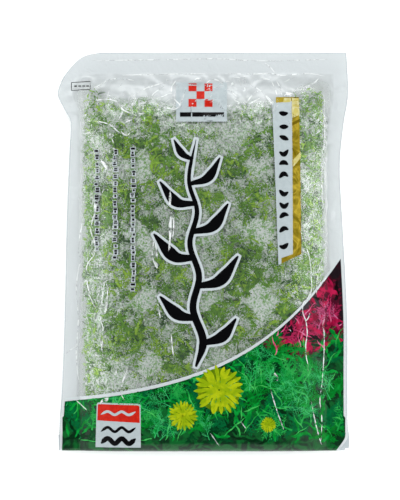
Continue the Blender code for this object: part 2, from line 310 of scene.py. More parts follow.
    def front(self, x: np.ndarray, y: np.ndarray) -> np.ndarray:
        """Height of the front film without its folds."""
        return self.seal(x, y) + (self.film + self.seal_gap) / 2 + self.front_rise * self.fullness(x, y)

    def back(self, x: np.ndarray, y: np.ndarray) -> np.ndarray:
        """Height of the back film, flat where the pouch rests on it."""
        seam = self.seal(x, y) - (self.film + self.seal_gap) / 2
        heel = np.maximum(0.0, self.heel_y - np.asarray(y, float)) / self.heel_length
        resting = self.film / 2 + self.heel_rise * heel ** 2
        drop = np.minimum(1.0, self.back_flare * self.bulge(x, y, 4))
        return seam + (np.minimum(resting, seam) - seam) * drop

    def folds(self, x: np.ndarray, y: np.ndarray) -> np.ndarray:
        """How far the front film's soft wrinkles lift it."""
        header = eased(*self.header_folds_from, y) * (1 - eased(*self.header_folds_to, y))
        header = header * (1 - 0.6 * ramp(*self.header_folds_beside, np.abs(x)))
        slant = layered_noise(x + 0.5 * y, y - 0.3 * x, self.header_fold_size, 5, 2)
        ridged = 1 - np.abs(2 * slant - 1)
        dents = (layered_noise(x, y, self.dent_size, 9, 2) - 0.5) * (self.fullness(x, y) > 0)
        side = eased(*self.pleats_from, np.abs(x)) * (1 - eased(*self.pleats_to, np.abs(x)))
        side = side * (1 - eased(*self.pleats_top, y))
        pleats = side * (value_noise(x, y, self.pleat_size, 31) - 0.3) * self.pleat
        return header * ridged ** 3 * self.header_fold + dents * self.dent + np.maximum(0, pleats)

    def end_depth(self, x: np.ndarray) -> np.ndarray:
        """How far the bottom end bulges past the line where it starts to turn under."""
        return self.turn_share * self.front(x, self.last_row)

    def fin_end(self, x: np.ndarray) -> np.ndarray:
        """y at which the fin ends, turned back under the pouch."""
        return self.end_y + self.end_depth(x) + self.fin_width

    def surface(self, x: np.ndarray, y: np.ndarray) -> np.ndarray:
        """Height of the front film with its folds."""
        return self.front(x, y) + self.folds(x, y)

    def swoop(self, x: np.ndarray) -> np.ndarray:
        """y of the upper edge of the printed band, which sweeps up to the right."""
        share = (np.asarray(x, float) + self.width / 2) / self.width
        straight, curved, steep = self.swoop_rises
        return self.swoop_foot + straight * share + curved * share ** 2 + steep * share ** 4

    def crown(self, x: np.ndarray) -> np.ndarray:
        """y of the ragged upper edge of the seaweed."""
        rag = value_noise(x, np.zeros_like(x), self.crown_rag_size, 72) - 0.5
        return self.edge(self.crown_edge, x) + self.crown_rag * rag

    def crimson(self, x: np.ndarray, y: np.ndarray) -> tuple[np.ndarray, np.ndarray]:
        """How far right and how far up a place lies by the slanted sides of the band's crimson corner."""
        return x + self.crimson_lean * (y - self.crimson_middle), y - self.crimson_slope * x

    def inset(self, x: np.ndarray, y: np.ndarray) -> np.ndarray:
        """Distance in from the nearer side edge."""
        return np.minimum(x - self.edge(self.left_edge, y), self.edge(self.right_edge, y) - x)


FORM = PouchForm()


class Sock:
    """A value in a material's nodes that takes Python's operators."""

    def __init__(self, graph: "Graph", link: bpy.types.NodeSocket) -> None:
        """Keeps the graph and the output that the value comes from."""
        self.graph, self.link = graph, link

    def __add__(self, other: "Sock | float") -> "Sock":
        """Sum."""
        return self.graph.math("ADD", self, other)

    def __sub__(self, other: "Sock | float") -> "Sock":
        """Difference."""
        return self.graph.math("SUBTRACT", self, other)

    def __rsub__(self, other: float) -> "Sock":
        """Difference from a number."""
        return self.graph.math("SUBTRACT", other, self)

    def __mul__(self, other: "Sock | float") -> "Sock":
        """Product."""
        return self.graph.math("MULTIPLY", self, other)

    __radd__ = __add__
    __rmul__ = __mul__


class Graph:
    """The nodes of one material or world, added by name and by Python's operators."""

    def __init__(self, name: str, world: bool = False) -> None:
        """Makes an empty material, or an empty world, of this name."""
        self.block = (bpy.data.worlds if world else bpy.data.materials).new(name)
        self.block.use_nodes = True
        self.tree = self.block.node_tree
        self.tree.nodes.clear()

    def node(self, kind: str, settings: dict[str, Any], inputs: dict[Any, Any]) -> bpy.types.Node:
        """Adds any node.

        Args:
            kind: The node's type without its ShaderNode prefix.
            settings: Its settings, which are set first.
            inputs: A value or a link for each input named or numbered.

        Returns:
            The node.
        """
        made = self.tree.nodes.new("ShaderNode" + kind)
        for name, value in settings.items():
            setattr(made, name, value)
        for key, value in inputs.items():
            if isinstance(value, Sock):
                self.tree.links.new(value.link, made.inputs[key])
            else:
                made.inputs[key].default_value = value
        return made

    def out(self, made: bpy.types.Node, which: Any = 0) -> Sock:
        """One of a node's outputs as a value."""
        return Sock(self, made.outputs[which])

    def math(self, operation: str, *values: "Sock | float") -> Sock:
        """A Math node of this operation on the values."""
        return self.out(self.node("Math", {"operation": operation}, dict(enumerate(values))))

    def step(self, value: Sock, low: float, high: float) -> Sock:
        """0 below low and 1 above high, smooth between them."""
        ends = {0: value, 1: low, 2: high, 3: 0.0, 4: 1.0}
        return self.out(self.node("MapRange", {"interpolation_type": "SMOOTHSTEP"}, ends))

    def mix(self, share: Sock | float, first: Any, second: Any) -> Sock:
        """A colour between two, given as colours or values."""
        ends = [(*c, 1.0) if isinstance(c, tuple) else c for c in (first, second)]
        return self.out(self.node("Mix", {"data_type": "RGBA"}, {0: share, 6: ends[0], 7: ends[1]}), 2)

    def place(self) -> Sock:
        """The point's place on the object, in millimetres."""
        coordinates = self.out(self.node("TexCoord", {}, {}), "Object")
        return self.out(self.node("VectorMath", {"operation": "SCALE"}, {0: coordinates, 3: 1 / MM}))

    def noise(self, place: Sock, cell: float, detail: float = 2.0, twist: float = 0.0) -> Sock:
        """Noise from 0 to 1 of this size in millimetres."""
        inputs = {"Vector": place, "Scale": 1 / cell, "Detail": detail, "Distortion": twist}
        return self.out(self.node("TexNoise", {}, inputs))

    def cells(self, place: Sock, cell: float) -> Sock:
        """Distance in a pattern of cells of this size in millimetres."""
        return self.out(self.node("TexVoronoi", {}, {"Vector": place, "Scale": 1 / cell}))

    def attribute(self, name: str) -> Sock:
        """A value stored on the mesh's vertices."""
        return self.out(self.node("Attribute", {"attribute_name": name}, {}), "Fac")

    def bump(self, height: Sock, strength: float, depth: float) -> Sock:
        """A normal bent by a height whose full range is this depth in millimetres."""
        inputs = {"Height": height, "Strength": strength, "Distance": depth * MM}
        return self.out(self.node("Bump", {}, inputs))

    def principled(self, **inputs: Any) -> Sock:
        """A Principled shader, with underscores in the inputs' names for spaces and colours of three."""
        named = {name.replace("_", " "): value for name, value in inputs.items()}
        for name, value in named.items():
            if isinstance(value, tuple):
                named[name] = (*value, 1.0)
        return self.out(self.node("BsdfPrincipled", {}, named))

    def clear(self, red: float, green: float, blue: float) -> Sock:
        """A shader that only lets light of this colour through."""
        return self.out(self.node("BsdfTransparent", {}, {"Color": (red, green, blue, 1.0)}))

    def blend(self, share: Sock | float, first: Sock, second: Sock) -> Sock:
        """A shader between two."""
        return self.out(self.node("MixShader", {}, {0: share, 1: first, 2: second}))

    def finish(self, shader: Sock) -> bpy.types.Material:
        """Ends the material in this shader."""
        self.node("OutputMaterial", {}, {"Surface": shader})
        return self.block


def salt_colour(g: Graph, place: Sock) -> Sock:
    """Colour of salt: pale crystals with greyer, greener gaps between them, partly the green beneath showing
    through and partly painted shade in the gaps.
    """
    crystals = g.step(g.noise(place, 1.2, 2.5), 0.36, 0.56)
    # The gap colour is partly painted shade between the crystals.
    return g.mix(crystals, under_film(132, 156, 122), under_film(206, 215, 213))


@dataclass(frozen=True)
class SeaweedFinish:
    """Moist green blades, lime where thin and dark where deep, frosted by salt."""

    lime: Colour = under_film(136, 168, 44)
    leaf: Colour = under_film(86, 130, 30)
    deep: Colour = under_film(34, 70, 22)

    def material(self) -> bpy.types.Material:
        """Builds the seaweed's material."""
        g = Graph("seaweed_green")
        place, tone, frost = g.place(), g.attribute("tone"), g.attribute("frost")
        mottle = g.noise(place, 2.0, 3.0, 0.4)
        body = g.mix(g.step(tone + (mottle - 0.5) * 0.9, 0.05, 0.5), self.deep, self.leaf)
        body = g.mix(g.step(tone + (mottle - 0.5) * 0.7, 0.5, 0.95), body, self.lime)
        salted = g.step(frost + (g.noise(place, 1.0, 2.5) - 0.5) * 2.1, 0.39, 0.54)
        colour = g.mix(salted, body, salt_colour(g, place))
        ridges = g.bump(g.noise(place, 0.8, 2.0) + salted * 0.6, 0.6, 0.4)
        return g.finish(g.principled(
            Base_Color=colour, Roughness=0.42 + salted * 0.3, Normal=ridges, Specular_IOR_Level=0.35))


@dataclass(frozen=True)
class SaltFinish:
    """Coarse moist salt with specks of green showing through."""

    green: Colour = under_film(96, 142, 48)

    def material(self, name: str) -> bpy.types.Material:
        """Builds a salt material of this name."""
        g = Graph(name)
        place = g.place()
        specks = g.step(g.noise(place, 1.8, 3.0, 0.6) + (g.noise(place, 6.0) - 0.5) * 0.8, 0.56, 0.64)
        colour = g.mix(specks * 0.85, salt_colour(g, place), self.green)
        crystals = g.bump(g.cells(place, 0.8), 0.5, 0.3)
        return g.finish(g.principled(
            Base_Color=colour, Roughness=0.5, Normal=crystals, Specular_IOR_Level=0.35))


@dataclass(frozen=True)
class FilmFinish:
    """Clear laminate: hazy blue-grey over white, glossy, with the printed band as ink in it."""

    haze: Colour = ink(222, 227, 229)
    band_dark: Colour = ink(0, 46, 20)
    band_green: Colour = ink(6, 96, 38)
    maroon: Colour = ink(48, 4, 20)
    near_black: Colour = (0.006, 0.002, 0.004)
    edge: Colour = ink(218, 225, 227)
    # Grey of the painted shade along the film's cut edge.
    rim: Colour = ink(186, 196, 200)
    tint: Colour = (0.97, 0.985, 0.98)
    bending: float = 1.42
    shine: float = 0.9

    def laminate(self, g: Graph, place: Sock, haze: Sock, colour: Any, shine: Sock | float) -> Sock:
        """Haze over clear film, with gloss on both.

        Args:
            g: The material's graph.
            place: The point's place on the film.
            haze: How much of the film's own colour covers what is behind it.
            colour: That colour.
            shine: How strong the gloss is.

        Returns:
            The film's shader.
        """
        normal = self.relief(g, place)
        body = g.principled(Base_Color=colour, Roughness=0.34, Normal=normal, Specular_IOR_Level=0.1)
        gloss = g.principled(Base_Color=(1.0, 1.0, 1.0), Metallic=1.0, Roughness=0.10, Normal=normal)
        mirror = g.out(g.node("Fresnel", {}, {"IOR": self.bending, "Normal": normal}))
        return g.blend(mirror * shine, g.blend(haze, g.clear(*self.tint), body), gloss)

    def relief(self, g: Graph, place: Sock) -> Sock:
        """The film's fine crinkle as a normal."""
        return g.bump(g.noise(place, 7.0, 3.0, 0.8) + g.noise(place, 1.6, 1.0) * 0.12, 0.4, 0.9)

    def front(self) -> bpy.types.Material:
        """Builds the front film's material."""
        g = Graph("front_film")
        place, swoop, inset = g.place(), g.attribute("swoop"), g.attribute("inset")
        haze, away = g.attribute("haze"), g.attribute("crimson")
        patches = g.step(g.noise(place, 9.0, 3.0, 1.2), 0.42, 0.6)
        band = g.mix(patches, self.band_dark, self.band_green)
        band = g.mix(away, band, g.mix(g.step(patches, 0.5, 0.9), self.near_black, self.maroon))
        printed = g.step(inset, 2.3, 2.7)
        inked = (1 - g.step(swoop, -1.3, -1.1)) * printed
        edged = (1 - g.step(swoop, 1.1, 1.3)) * printed
        # Painted shade: darker grey within about 0.8 mm of the cut edges.
        rim = 1 - g.step(inset, 0.35, 0.8)
        colour = g.mix(inked, g.mix(edged, g.mix(rim, self.haze, self.rim), self.edge), band)
        cover = g.math("MAXIMUM", haze, edged * 0.9)
        cover = g.math("MAXIMUM", cover, inked)
        return g.finish(self.laminate(g, place, cover, colour, self.shine - inked * 0.65))

    def back(self) -> bpy.types.Material:
        """Builds the back film's material."""
        g = Graph("back_film")
        place = g.place()
        haze = g.noise(place, 14.0, 2.0) * 0.08 + 0.10
        return g.finish(self.laminate(g, place, haze, self.haze, self.shine))


@dataclass(frozen=True)
class InkFinish:
    """Ink under the glossy outer film."""

    name: str
    colour: Colour
    second: Colour | None = None
    cell: float = 3.0
    roughness: float = 0.3

    def material(self) -> bpy.types.Material:
        """Builds the ink's material."""
        g = Graph(self.name)
        place = g.place()
        other = self.second or tuple(c * 0.86 for c in self.colour)
        colour = g.mix(g.step(g.noise(place, self.cell, 2.0, 0.5), 0.35, 0.65), self.colour, other)
        relief = FilmFinish().relief(g, place)
        return g.finish(g.principled(
            Base_Color=colour, Roughness=self.roughness, Normal=relief, Specular_IOR_Level=0.06))


@dataclass(frozen=True)
class GoldFinish:
    """Metallic gold ink, crinkled with the film, with painted shade in the crinkles' hollows and lighter gold
    on their crests.
    """

    gold: Colour = ink(182, 158, 44)
    # The gold of the painted shade in the crinkles.
    dark: Colour = ink(128, 110, 0)

    def material(self) -> bpy.types.Material:
        """Builds the gold ink's material."""
        g = Graph("gold_ink")
        place = g.place()
        folds = g.noise(place, 9.0, 2.0, 1.5)
        # Painted shade and light: the colour follows the crinkle heights that also bend the normal.
        colour = g.mix(g.step(folds, 0.35, 0.65), self.dark, self.gold)
        return g.finish(g.principled(
            Base_Color=colour, Metallic=0.35, Roughness=0.35, Normal=g.bump(folds, 0.7, 2.0),
            Specular_IOR_Level=0.1))


@dataclass(frozen=True)
class CreaseFinish:
    """Folded film, white along the fold: partly stress-whitening, partly painted highlight for the glint of
    light on the fold.
    """

    # White of the painted highlight on each fold, with some stress-whitening in it.
    white: Colour = ink(248, 251, 251)

    def material(self) -> bpy.types.Material:
        """Builds the material of the folds."""
        g = Graph("crease_painted_glint")
        place = g.place()
        # White painted highlight over clear film, broken up along each fold.
        body = g.principled(Base_Color=self.white, Roughness=0.25)
        broken = g.noise(place, 4.5, 2.0) + (g.noise(place, 16.0) - 0.5) * 0.5
        cover = g.step(broken, 0.34, 0.6) * g.attribute("tone")
        return g.finish(g.blend(cover, g.clear(1.0, 1.0, 1.0), body))


class Slot(Enum):
    """What a piece is made of, as the part's record names it."""

    FILM = "clear_film"
    SEAWEED = "seaweed"
    SALT = "salt"


class SheetMesh:
    """A bmesh that grids, ribbons, discs and grains are added to, with values stored on its vertices."""

    # Grains are made this many at a time, because each one takes longer in a larger mesh.
    grains_at_once = 64

    def __init__(self, *layers: str, settle: Settle | None = None) -> None:
        """Starts an empty mesh.

        Args:
            layers: Names of the values that each vertex has.
            settle: Turns x, y and a height of its own into the height a grid's point gets.
        """
        self.bm, self.settle = bmesh.new(), settle
        for name in layers:
            self.bm.verts.layers.float.new(name)
        self.names = layers
        self.waiting: dict[int, list[tuple[np.ndarray, dict[str, Any]]]] = {}

    def layer(self, name: str) -> bmesh.types.BMLayerItem:
        """The mesh's layer of this name."""
        return self.bm.verts.layers.float[name]

    def grid(self, points: np.ndarray, values: dict[str, np.ndarray | float] | None = None) -> None:
        """Takes in a grid of faces bent to points, which flush then makes.

        Args:
            points: Places in millimetres, as rows of columns of x, y and z.
            values: A value or an array of values for each named layer.
        """
        self.waiting.setdefault(points.shape[1], []).append((points, values or {}))

    def flush(self) -> None:
        """Makes the waiting grids: those of equal width as one long grid, cut where one ends."""
        for columns, batch in self.waiting.items():
            points = np.concatenate([entry[0] for entry in batch])
            if self.settle:
                points[..., 2] = self.settle(*np.moveaxis(points, 2, 0))
            ends = np.cumsum([len(entry[0]) for entry in batch])[:-1]
            rows = len(points)
            made = bmesh.ops.create_grid(
                self.bm, x_segments=columns - 1, y_segments=rows - 1, size=1.0)["verts"]
            stored = []
            for name in self.names:
                parts = [np.broadcast_to(entry[1].get(name, 0.0), entry[0].shape[:2]) for entry in batch]
                stored.append((self.layer(name), np.concatenate(parts).tolist()))
            scaled = (points * MM).tolist()
            order = {}
            for vertex in made:
                i = round((vertex.co.y + 1) / 2 * (rows - 1))
                j = round((vertex.co.x + 1) / 2 * (columns - 1))
                order[i, j] = vertex
                vertex.co = scaled[i][j]
                for layer, value in stored:
                    vertex[layer] = value[i][j]
            joins = [self.bm.edges.get((order[i - 1, j], order[i, j])) for i in ends for j in range(columns)]
            bmesh.ops.delete(self.bm, geom=joins, context="EDGES")
        self.waiting.clear()

    def ribbon(self, line: np.ndarray, half: np.ndarray, height: np.ndarray | float, across: int = 2,
               ruffle: np.ndarray | float = 0.0, crest: np.ndarray | float = 0.0,
               values: dict[str, Any] | None = None) -> None:
        """Adds a ribbon along a line.

        Args:
            line: The middle line's places in millimetres.
            half: Half the ribbon's width at each place.
            height: Its own height at each place.
            across: How many faces wide the ribbon is.
            ruffle: How far the left margin rises and the right margin sinks at each place.
            crest: How far the middle rises at each place.
            values: Values for the named layers.
        """
        along = np.gradient(line, axis=0)
        along /= np.maximum(1e-9, np.linalg.norm(along, axis=1, keepdims=True))
        left = np.stack([-along[:, 1], along[:, 0]], axis=1)
        side = np.linspace(1, -1, across + 1)
        flat = line[:, None, :] + left[:, None, :] * (np.asarray(half)[:, None] * side)[..., None]
        base, tilt, peak = (
            np.broadcast_to(value, len(line))[:, None] for value in (height, ruffle, crest))
        z = tilt * side + base + peak * (1 - np.abs(side))
        self.grid(np.concatenate([flat, z[..., None]], axis=2), values)

    def disc(self, middle: Place, radius: float, height: float) -> None:
        """Adds a disc lying on the surface.

        Args:
            middle: Its middle in millimetres.
            radius: Its radius.
            height: Its height above the surface.
        """
        rings, spokes = np.linspace(0, radius, 7), np.linspace(0, math.tau, 49)
        r, turn = np.meshgrid(rings, spokes, indexing="ij")
        x, y = middle[0] + r * np.cos(turn), middle[1] + r * np.sin(turn)
        self.grid(np.stack([x, y, np.full_like(x, height)], axis=2)[:, ::-1])

    def grains(self, middles: list[Vector], rng: random.Random, sizes: tuple[float, float]) -> None:
        """Adds small pyramids of salt, each turned at random.

        Args:
            middles: Their places in metres.
            rng: Source of chance.
            sizes: Least and greatest width in millimetres.
        """
        carrier = bpy.data.meshes.new("grains")
        for first in range(0, len(middles), self.grains_at_once):
            handful = bmesh.new()
            for middle in middles[first:first + self.grains_at_once]:
                turned = Euler([rng.uniform(0, math.tau) for _ in range(3)]).to_matrix().to_4x4()
                size = rng.uniform(*sizes) * MM
                bmesh.ops.create_cone(
                    handful, cap_ends=True, segments=4, radius1=0.8 * size, radius2=0,
                    depth=rng.uniform(0.8, 1.3) * size, matrix=Matrix.Translation(middle) @ turned)
            handful.to_mesh(carrier)
            handful.free()
            self.bm.from_mesh(carrier)
        bpy.data.meshes.remove(carrier)

    def obj(self, name: str, material: bpy.types.Material, slot: Slot = Slot.FILM) -> bpy.types.Object:
        """Ends the mesh and makes its object, riding on the pouch.

        Args:
            name: The piece's name.
            material: Its material.
            slot: What it is made of. Salt is shaded flat and all else smooth.

        Returns:
            The object.
        """
        self.flush()
        mesh = bpy.data.meshes.new(name)
        self.bm.to_mesh(mesh)
        self.bm.free()
        mesh.materials.append(material)
        if slot is not Slot.SALT:
            mesh.shade_smooth()
        made = bpy.data.objects.new(name, mesh)
        bpy.context.scene.collection.objects.link(made)
        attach(made, BODY)
        LOG.info("%s: %d faces", name, len(mesh.polygons))
        return made


def on_film(x: np.ndarray, y: np.ndarray, lift: np.ndarray) -> np.ndarray:
    """Height of a point that lies this far above the front film."""
    return FORM.surface(x, y) + lift


class Stretch(Enum):
    """A stretch of film past its straight rows: how many rows it has, and where its edges are read."""

    RUN = (16, -115.0, -15.0)
    TURN = (18, -134.0, -4.0)
    FIN = (6, -138.0, -2.0)


@dataclass
class Films:
    """The two films of the pouch."""

    front_step: float = 1.2
    back_step: float = 2.3
    end_edge_y: float = -130.0
    front_fin_drop: float = 0.15
    back_drop: float = 0.2
    back_least_z: float = 0.05
    back_turn_share: float = 0.55
    back_turn_gap: float = 0.6
    back_clearance: float = 1.1
    clear_haze: float = 0.03
    empty_haze: float = 0.43
    seal_haze: float = 0.34
    header_haze: float = 0.22
    most_haze: float = 0.9
    seal_width: Place = (9.5, 11.5)
    top_seal_y: Place = (124.0, 126.0)
    empty_beside: Place = (80.0, 90.0)
    empty_above: Place = (-5.0, 8.0)
    header_above: Place = (0.0, 10.0)
    crimson_right: Place = (34.0, 56.0)
    crimson_up: Place = (-78.0, -62.0)
    finish: FilmFinish = field(default_factory=FilmFinish)

    def grid_points(self, step: float, height: Field, outermost: Profile, depth: Profile,
                    bottom: float) -> np.ndarray:
        """Places of a film from the top seal, down, under the bottom end and along the fin.

        Args:
            step: Distance between neighbouring places.
            height: The film's height above the turn.
            outermost: y at which the turned film is farthest out, for each x.
            depth: How far the turn reaches in from there, for each x.
            bottom: The film's height along the fin.

        Returns:
            Rows of columns of x, y and z in millimetres.
        """
        share = np.linspace(0, 1, round(FORM.width / step) + 1)
        rows = []
        for y in np.linspace(FORM.top_y, FORM.last_row, round((FORM.top_y - FORM.last_row) / step)):
            x = FORM.row(y, share)
            rows.append(np.stack([x, np.full_like(x, y), height(x, y)], axis=1))
        for stretch in Stretch:
            steps, level, fall = stretch.value
            for k in range(1, steps + 1):
                x = FORM.row(level + fall * k / steps, share)
                start = outermost(x) + depth(x)
                top = height(x, start)
                if stretch is Stretch.RUN:
                    y = FORM.last_row + (start - FORM.last_row) * k / steps
                    z = height(x, y)
                elif stretch is Stretch.TURN:
                    turn = math.pi * k / steps
                    y = start - depth(x) * math.sin(turn)
                    z = (top + bottom) / 2 + (top - bottom) / 2 * math.cos(turn)
                else:
                    y = start + (FORM.fin_end(x) - start) * k / steps
                    z = np.full_like(x, bottom)
                rows.append(np.stack([x, y, z], axis=1))
        return np.array(rows)[::-1]

    def haze(self, x: np.ndarray, y: np.ndarray, inset: np.ndarray) -> np.ndarray:
        """How hazy the front film is.

        Args:
            x: Places across.
            y: Places along.
            inset: How far in from its side edges they lie.

        Returns:
            The least over the seaweed, more where the pouch is empty, and the most at its seals.
        """
        above = y - FORM.edge(FORM.crown_edge, x)
        empty = np.maximum(eased(*self.empty_beside, np.abs(x)), eased(*self.empty_above, above))
        sealed = np.maximum(1 - eased(*self.seal_width, inset), eased(*self.top_seal_y, y))
        haze = self.clear_haze + self.empty_haze * empty + self.seal_haze * sealed * empty
        return np.minimum(haze + self.header_haze * eased(*self.header_above, above), self.most_haze)

    def build(self) -> None:
        """Makes both films in place of their plain solids."""
        self.build_front()
        self.build_back()

    def build_front(self) -> None:
        """Makes the front film, with what its material reads stored on it."""
        points = self.grid_points(
            self.front_step, FORM.surface, lambda x: np.full_like(x, FORM.end_y), FORM.end_depth,
            FORM.fin_front_z - self.front_fin_drop)
        x, y = points[..., 0], points[..., 1]
        turned = np.where(y < FORM.last_row, np.minimum(y, self.end_edge_y), y)
        inset = FORM.inset(x, turned)
        right, up = FORM.crimson(x, y)
        sheet = SheetMesh("swoop", "inset", "haze", "crimson")
        sheet.grid(points, {
            "swoop": y - FORM.swoop(x),
            "inset": np.minimum(inset, FORM.top_y - y),
            "haze": self.haze(x, y, inset),
            "crimson": eased(*self.crimson_right, right) * eased(*self.crimson_up, up)})
        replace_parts(sheet.obj("front_film", self.finish.front()), "film_front")

    def build_back(self) -> None:
        """Makes the back film, which turns inside the front film's own turn."""

        def outermost(x: np.ndarray) -> np.ndarray:
            """y at which the back film is farthest out."""
            return FORM.end_y + self.back_clearance + self.back_turn_share * FORM.end_depth(x)

        def depth(x: np.ndarray) -> np.ndarray:
            """How far the back film's turn reaches in."""
            return FORM.end_y + FORM.end_depth(x) + self.back_turn_gap - outermost(x)

        points = self.grid_points(self.back_step, FORM.back, outermost, depth, FORM.fin_back_z)
        points[..., 2] = np.maximum(points[..., 2] - self.back_drop, self.back_least_z)
        sheet = SheetMesh()
        sheet.grid(points[:, ::-1])
        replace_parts(sheet.obj("back_film", self.finish.back()), "film_back")


@dataclass
class Creases:
    """The sharp folds of the front film: ridges a little above it, placed by pixels, white as painted
    highlights for the glints on the folds, partly stress-whitening.
    """

    left: Sequence[Trace] = (
        ((104, 183), (104, 190), (98, 200), (95, 213), (91.5, 224), (91, 232), (94, 240), (95, 247),
         (94, 255), (88, 263), (86, 271), (87, 280), (88, 288), (92, 301), (98, 312), (100, 316)),
        ((78, 197), (81.5, 210), (82, 221), (79, 240), (78, 252), (80.5, 260), (78, 270), (76, 290),
         (78, 320), (76, 350), (78, 378), (83, 382)),
        ((154.4, 240), (152.4, 252), (154.6, 263), (157.3, 268.6)),
        ((154.6, 240), (157, 252), (157.6, 267)), ((170.7, 190), (169.6, 200), (169.8, 209)),
        ((172, 212), (169.6, 226), (169.8, 240), (168.5, 252)),
        ((172, 213), (173.8, 224), (172.4, 240), (169.5, 250)),
        ((106, 280), (103.8, 288), (102.4, 300), (101, 310), (104, 316)),
        ((106.4, 280), (107.8, 290), (107, 311)), ((100, 318), (104, 331), (102, 346), (103, 353)),
        ((118, 368), (115, 375)), ((126.4, 369), (127.4, 373), (122, 382), (120, 388), (117, 391)),
        ((126, 371), (121.5, 391), (126.4, 402)), ((76, 401), (86.6, 410)),
        ((158, 303), (159, 310), (161, 319)), ((171.3, 333), (173, 351), (174.4, 357)),
        ((64, 355), (72, 349), (79.5, 346)), ((101, 160), (105, 167), (110, 171)), ((93, 141), (95, 145)),
        ((112, 148), (116, 150)), ((102.5, 132), (104, 139)), ((108.6, 134), (112, 139), (114, 144)),
    )
    header: Sequence[Trace] = (
        ((89, 99), (96, 100), (105, 99), (115, 101), (120, 105), (123, 110), (132, 114), (140.5, 117)),
        ((140.5, 117), (134, 119), (125, 123), (120, 126)), ((123, 112), (117, 123)),
        ((128, 103), (129.5, 97), (134, 94.5), (142, 90), (148, 87), (160, 83.5), (165, 83), (162, 87),
         (154, 93), (150, 99)), ((135.6, 105.5), (146.6, 102)), ((136, 109), (140.5, 114), (149, 112)),
        ((154, 102), (158, 98), (164, 96), (170.5, 93), (173.5, 98), (177, 102), (180, 105.5), (176, 109),
         (170, 109), (160, 105.5), (154, 102)), ((171, 93), (172, 86), (176, 80)),
        ((180, 105), (183, 97), (186, 88)), ((95, 121), (105, 123), (112, 126), (117, 131), (121, 134)),
        ((121, 132), (127, 136), (131, 132)), ((92, 60), (150, 59), (215, 58), (262, 60), (332, 58.5)),
        ((265, 62), (270, 66), (275, 72)), ((93, 88), (102, 83.5), (107, 80), (120, 78), (134, 80)),
        ((120, 74.5), (165, 73.6), (206, 73)),
        ((225, 73), (252, 73.4), (272, 73), (283, 74.7), (308, 73), (325, 75.5)),
        ((225, 90.5), (229, 89), (233, 93), (237.5, 98), (234, 100), (239, 103), (233, 106), (225, 108)),
        ((234, 77), (239, 77), (243, 79.7), (246, 77), (242, 75.5)), ((231, 85), (233, 82.6)),
        ((242.5, 84), (246.7, 82), (252.5, 85.5), (260, 90), (267, 96), (272, 102), (274, 104)),
        ((244, 85), (245, 90), (242.5, 91)), ((259, 90), (252.5, 95), (247, 102), (242.5, 111)),
        ((247, 106), (253, 102), (260, 98)), ((261, 90), (268, 99), (273, 105)),
        ((271.7, 81), (275, 88), (277, 95)), ((276.7, 80.5), (280, 87), (282, 95)),
        ((284, 96), (288, 93), (293, 94)), ((302.5, 88), (312.5, 84), (319, 78)), ((308, 128), (313, 136)),
        ((253, 80), (262, 78.5), (271, 79)), ((193, 82), (197, 78), (204, 80)),
        ((205, 84), (212, 79), (220, 81), (224, 86)),
    )
    right: Sequence[Trace] = (
        ((299.6, 230), (302.5, 239), (308, 253), (310.6, 267), (311.3, 289), (308, 297), (303, 303),
         (302.5, 312), (305.5, 321), (307, 333), (305.5, 344), (306, 357), (308, 366), (307, 380)),
        ((323, 256), (318.6, 271), (317, 281), (316.5, 295)),
        ((333, 313.5), (326, 318), (323, 324), (324.5, 335), (324, 359), (322, 385), (320, 400), (322, 420),
         (321, 444)), ((310, 312), (308, 318), (305, 321)), ((311, 401), (316, 425), (321.6, 445)),
        ((270, 388), (273, 398.5), (277.6, 413), (283.5, 429)), ((210, 432), (219, 445)),
        ((324, 90), (325, 130), (322, 180), (324, 215)), ((285, 326), (291, 331)), ((240, 420), (246, 428)),
    )
    # Short lens-shaped folds, each with a strong painted glint.
    bold_glint_ridges: Sequence[tuple[Place, Place, float]] = (
        ((101, 193), (94, 209), 1.5), ((102, 161), (108.5, 169.5), 1.1), ((170.6, 191), (169.8, 208), 0.9),
        ((171.4, 213), (169.8, 250), 0.8), ((155.8, 258), (157.6, 268), 0.9), ((109, 397), (100, 404), 1.8),
        ((309.5, 299), (304, 304), 1.0), ((286, 92), (291, 97), 1.3), ((135, 101.5), (131, 106), 0.9),
        ((166.5, 79), (168.5, 80.5), 1.0), ((231.5, 85), (233, 82), 1.0), ((274, 372), (277, 380), 1.3),
        ((120.5, 387), (118, 391), 1.0), ((107.5, 303), (105, 314), 0.8),
    )
    # Half widths of the folds, and how white each group is: painted highlight for the glints, partly
    # stress-whitening.
    left_width: float = 0.40
    header_width: float = 0.37
    right_width: float = 0.32
    side_cover: float = 0.9
    header_cover: float = 0.95
    lift: float = 0.10
    steepness: float = 0.35
    curls: int = 46
    curl_cover: float = 0.8
    slack: Place = (86.0, 120.0)
    slack_half_width: float = 88.0

    def build(self) -> None:
        """Makes the folds."""
        rng = random.Random(7)
        sheet = SheetMesh("tone", settle=on_film)
        groups = (
            (self.left, self.left_width, self.side_cover),
            (self.header, self.header_width, self.header_cover),
            (self.right, self.right_width, self.side_cover),
        )
        for group, width, cover in groups:
            for places in group:
                line = traced(places, 1.0)
                run = np.linspace(0, 1, len(line))
                swell = 0.65 + 0.7 * value_noise(line[:, 0], line[:, 1], 4.0, rng.randrange(99))
                half = width * swell * np.minimum(1, 6 * np.minimum(run, 1 - run) + 0.15)
                self.ridge(sheet, line, half, cover)
        for _ in range(self.curls):
            self.curl(sheet, rng)
        for start, end, width in self.bold_glint_ridges:
            line = traced((start, end), 0.8)
            run = np.linspace(0, 1, len(line))
            self.ridge(sheet, line, width * np.sin(np.pi * np.clip(run, 0.03, 0.97)) ** 0.8, 1.0)
        sheet.obj("film_creases", CreaseFinish().material())

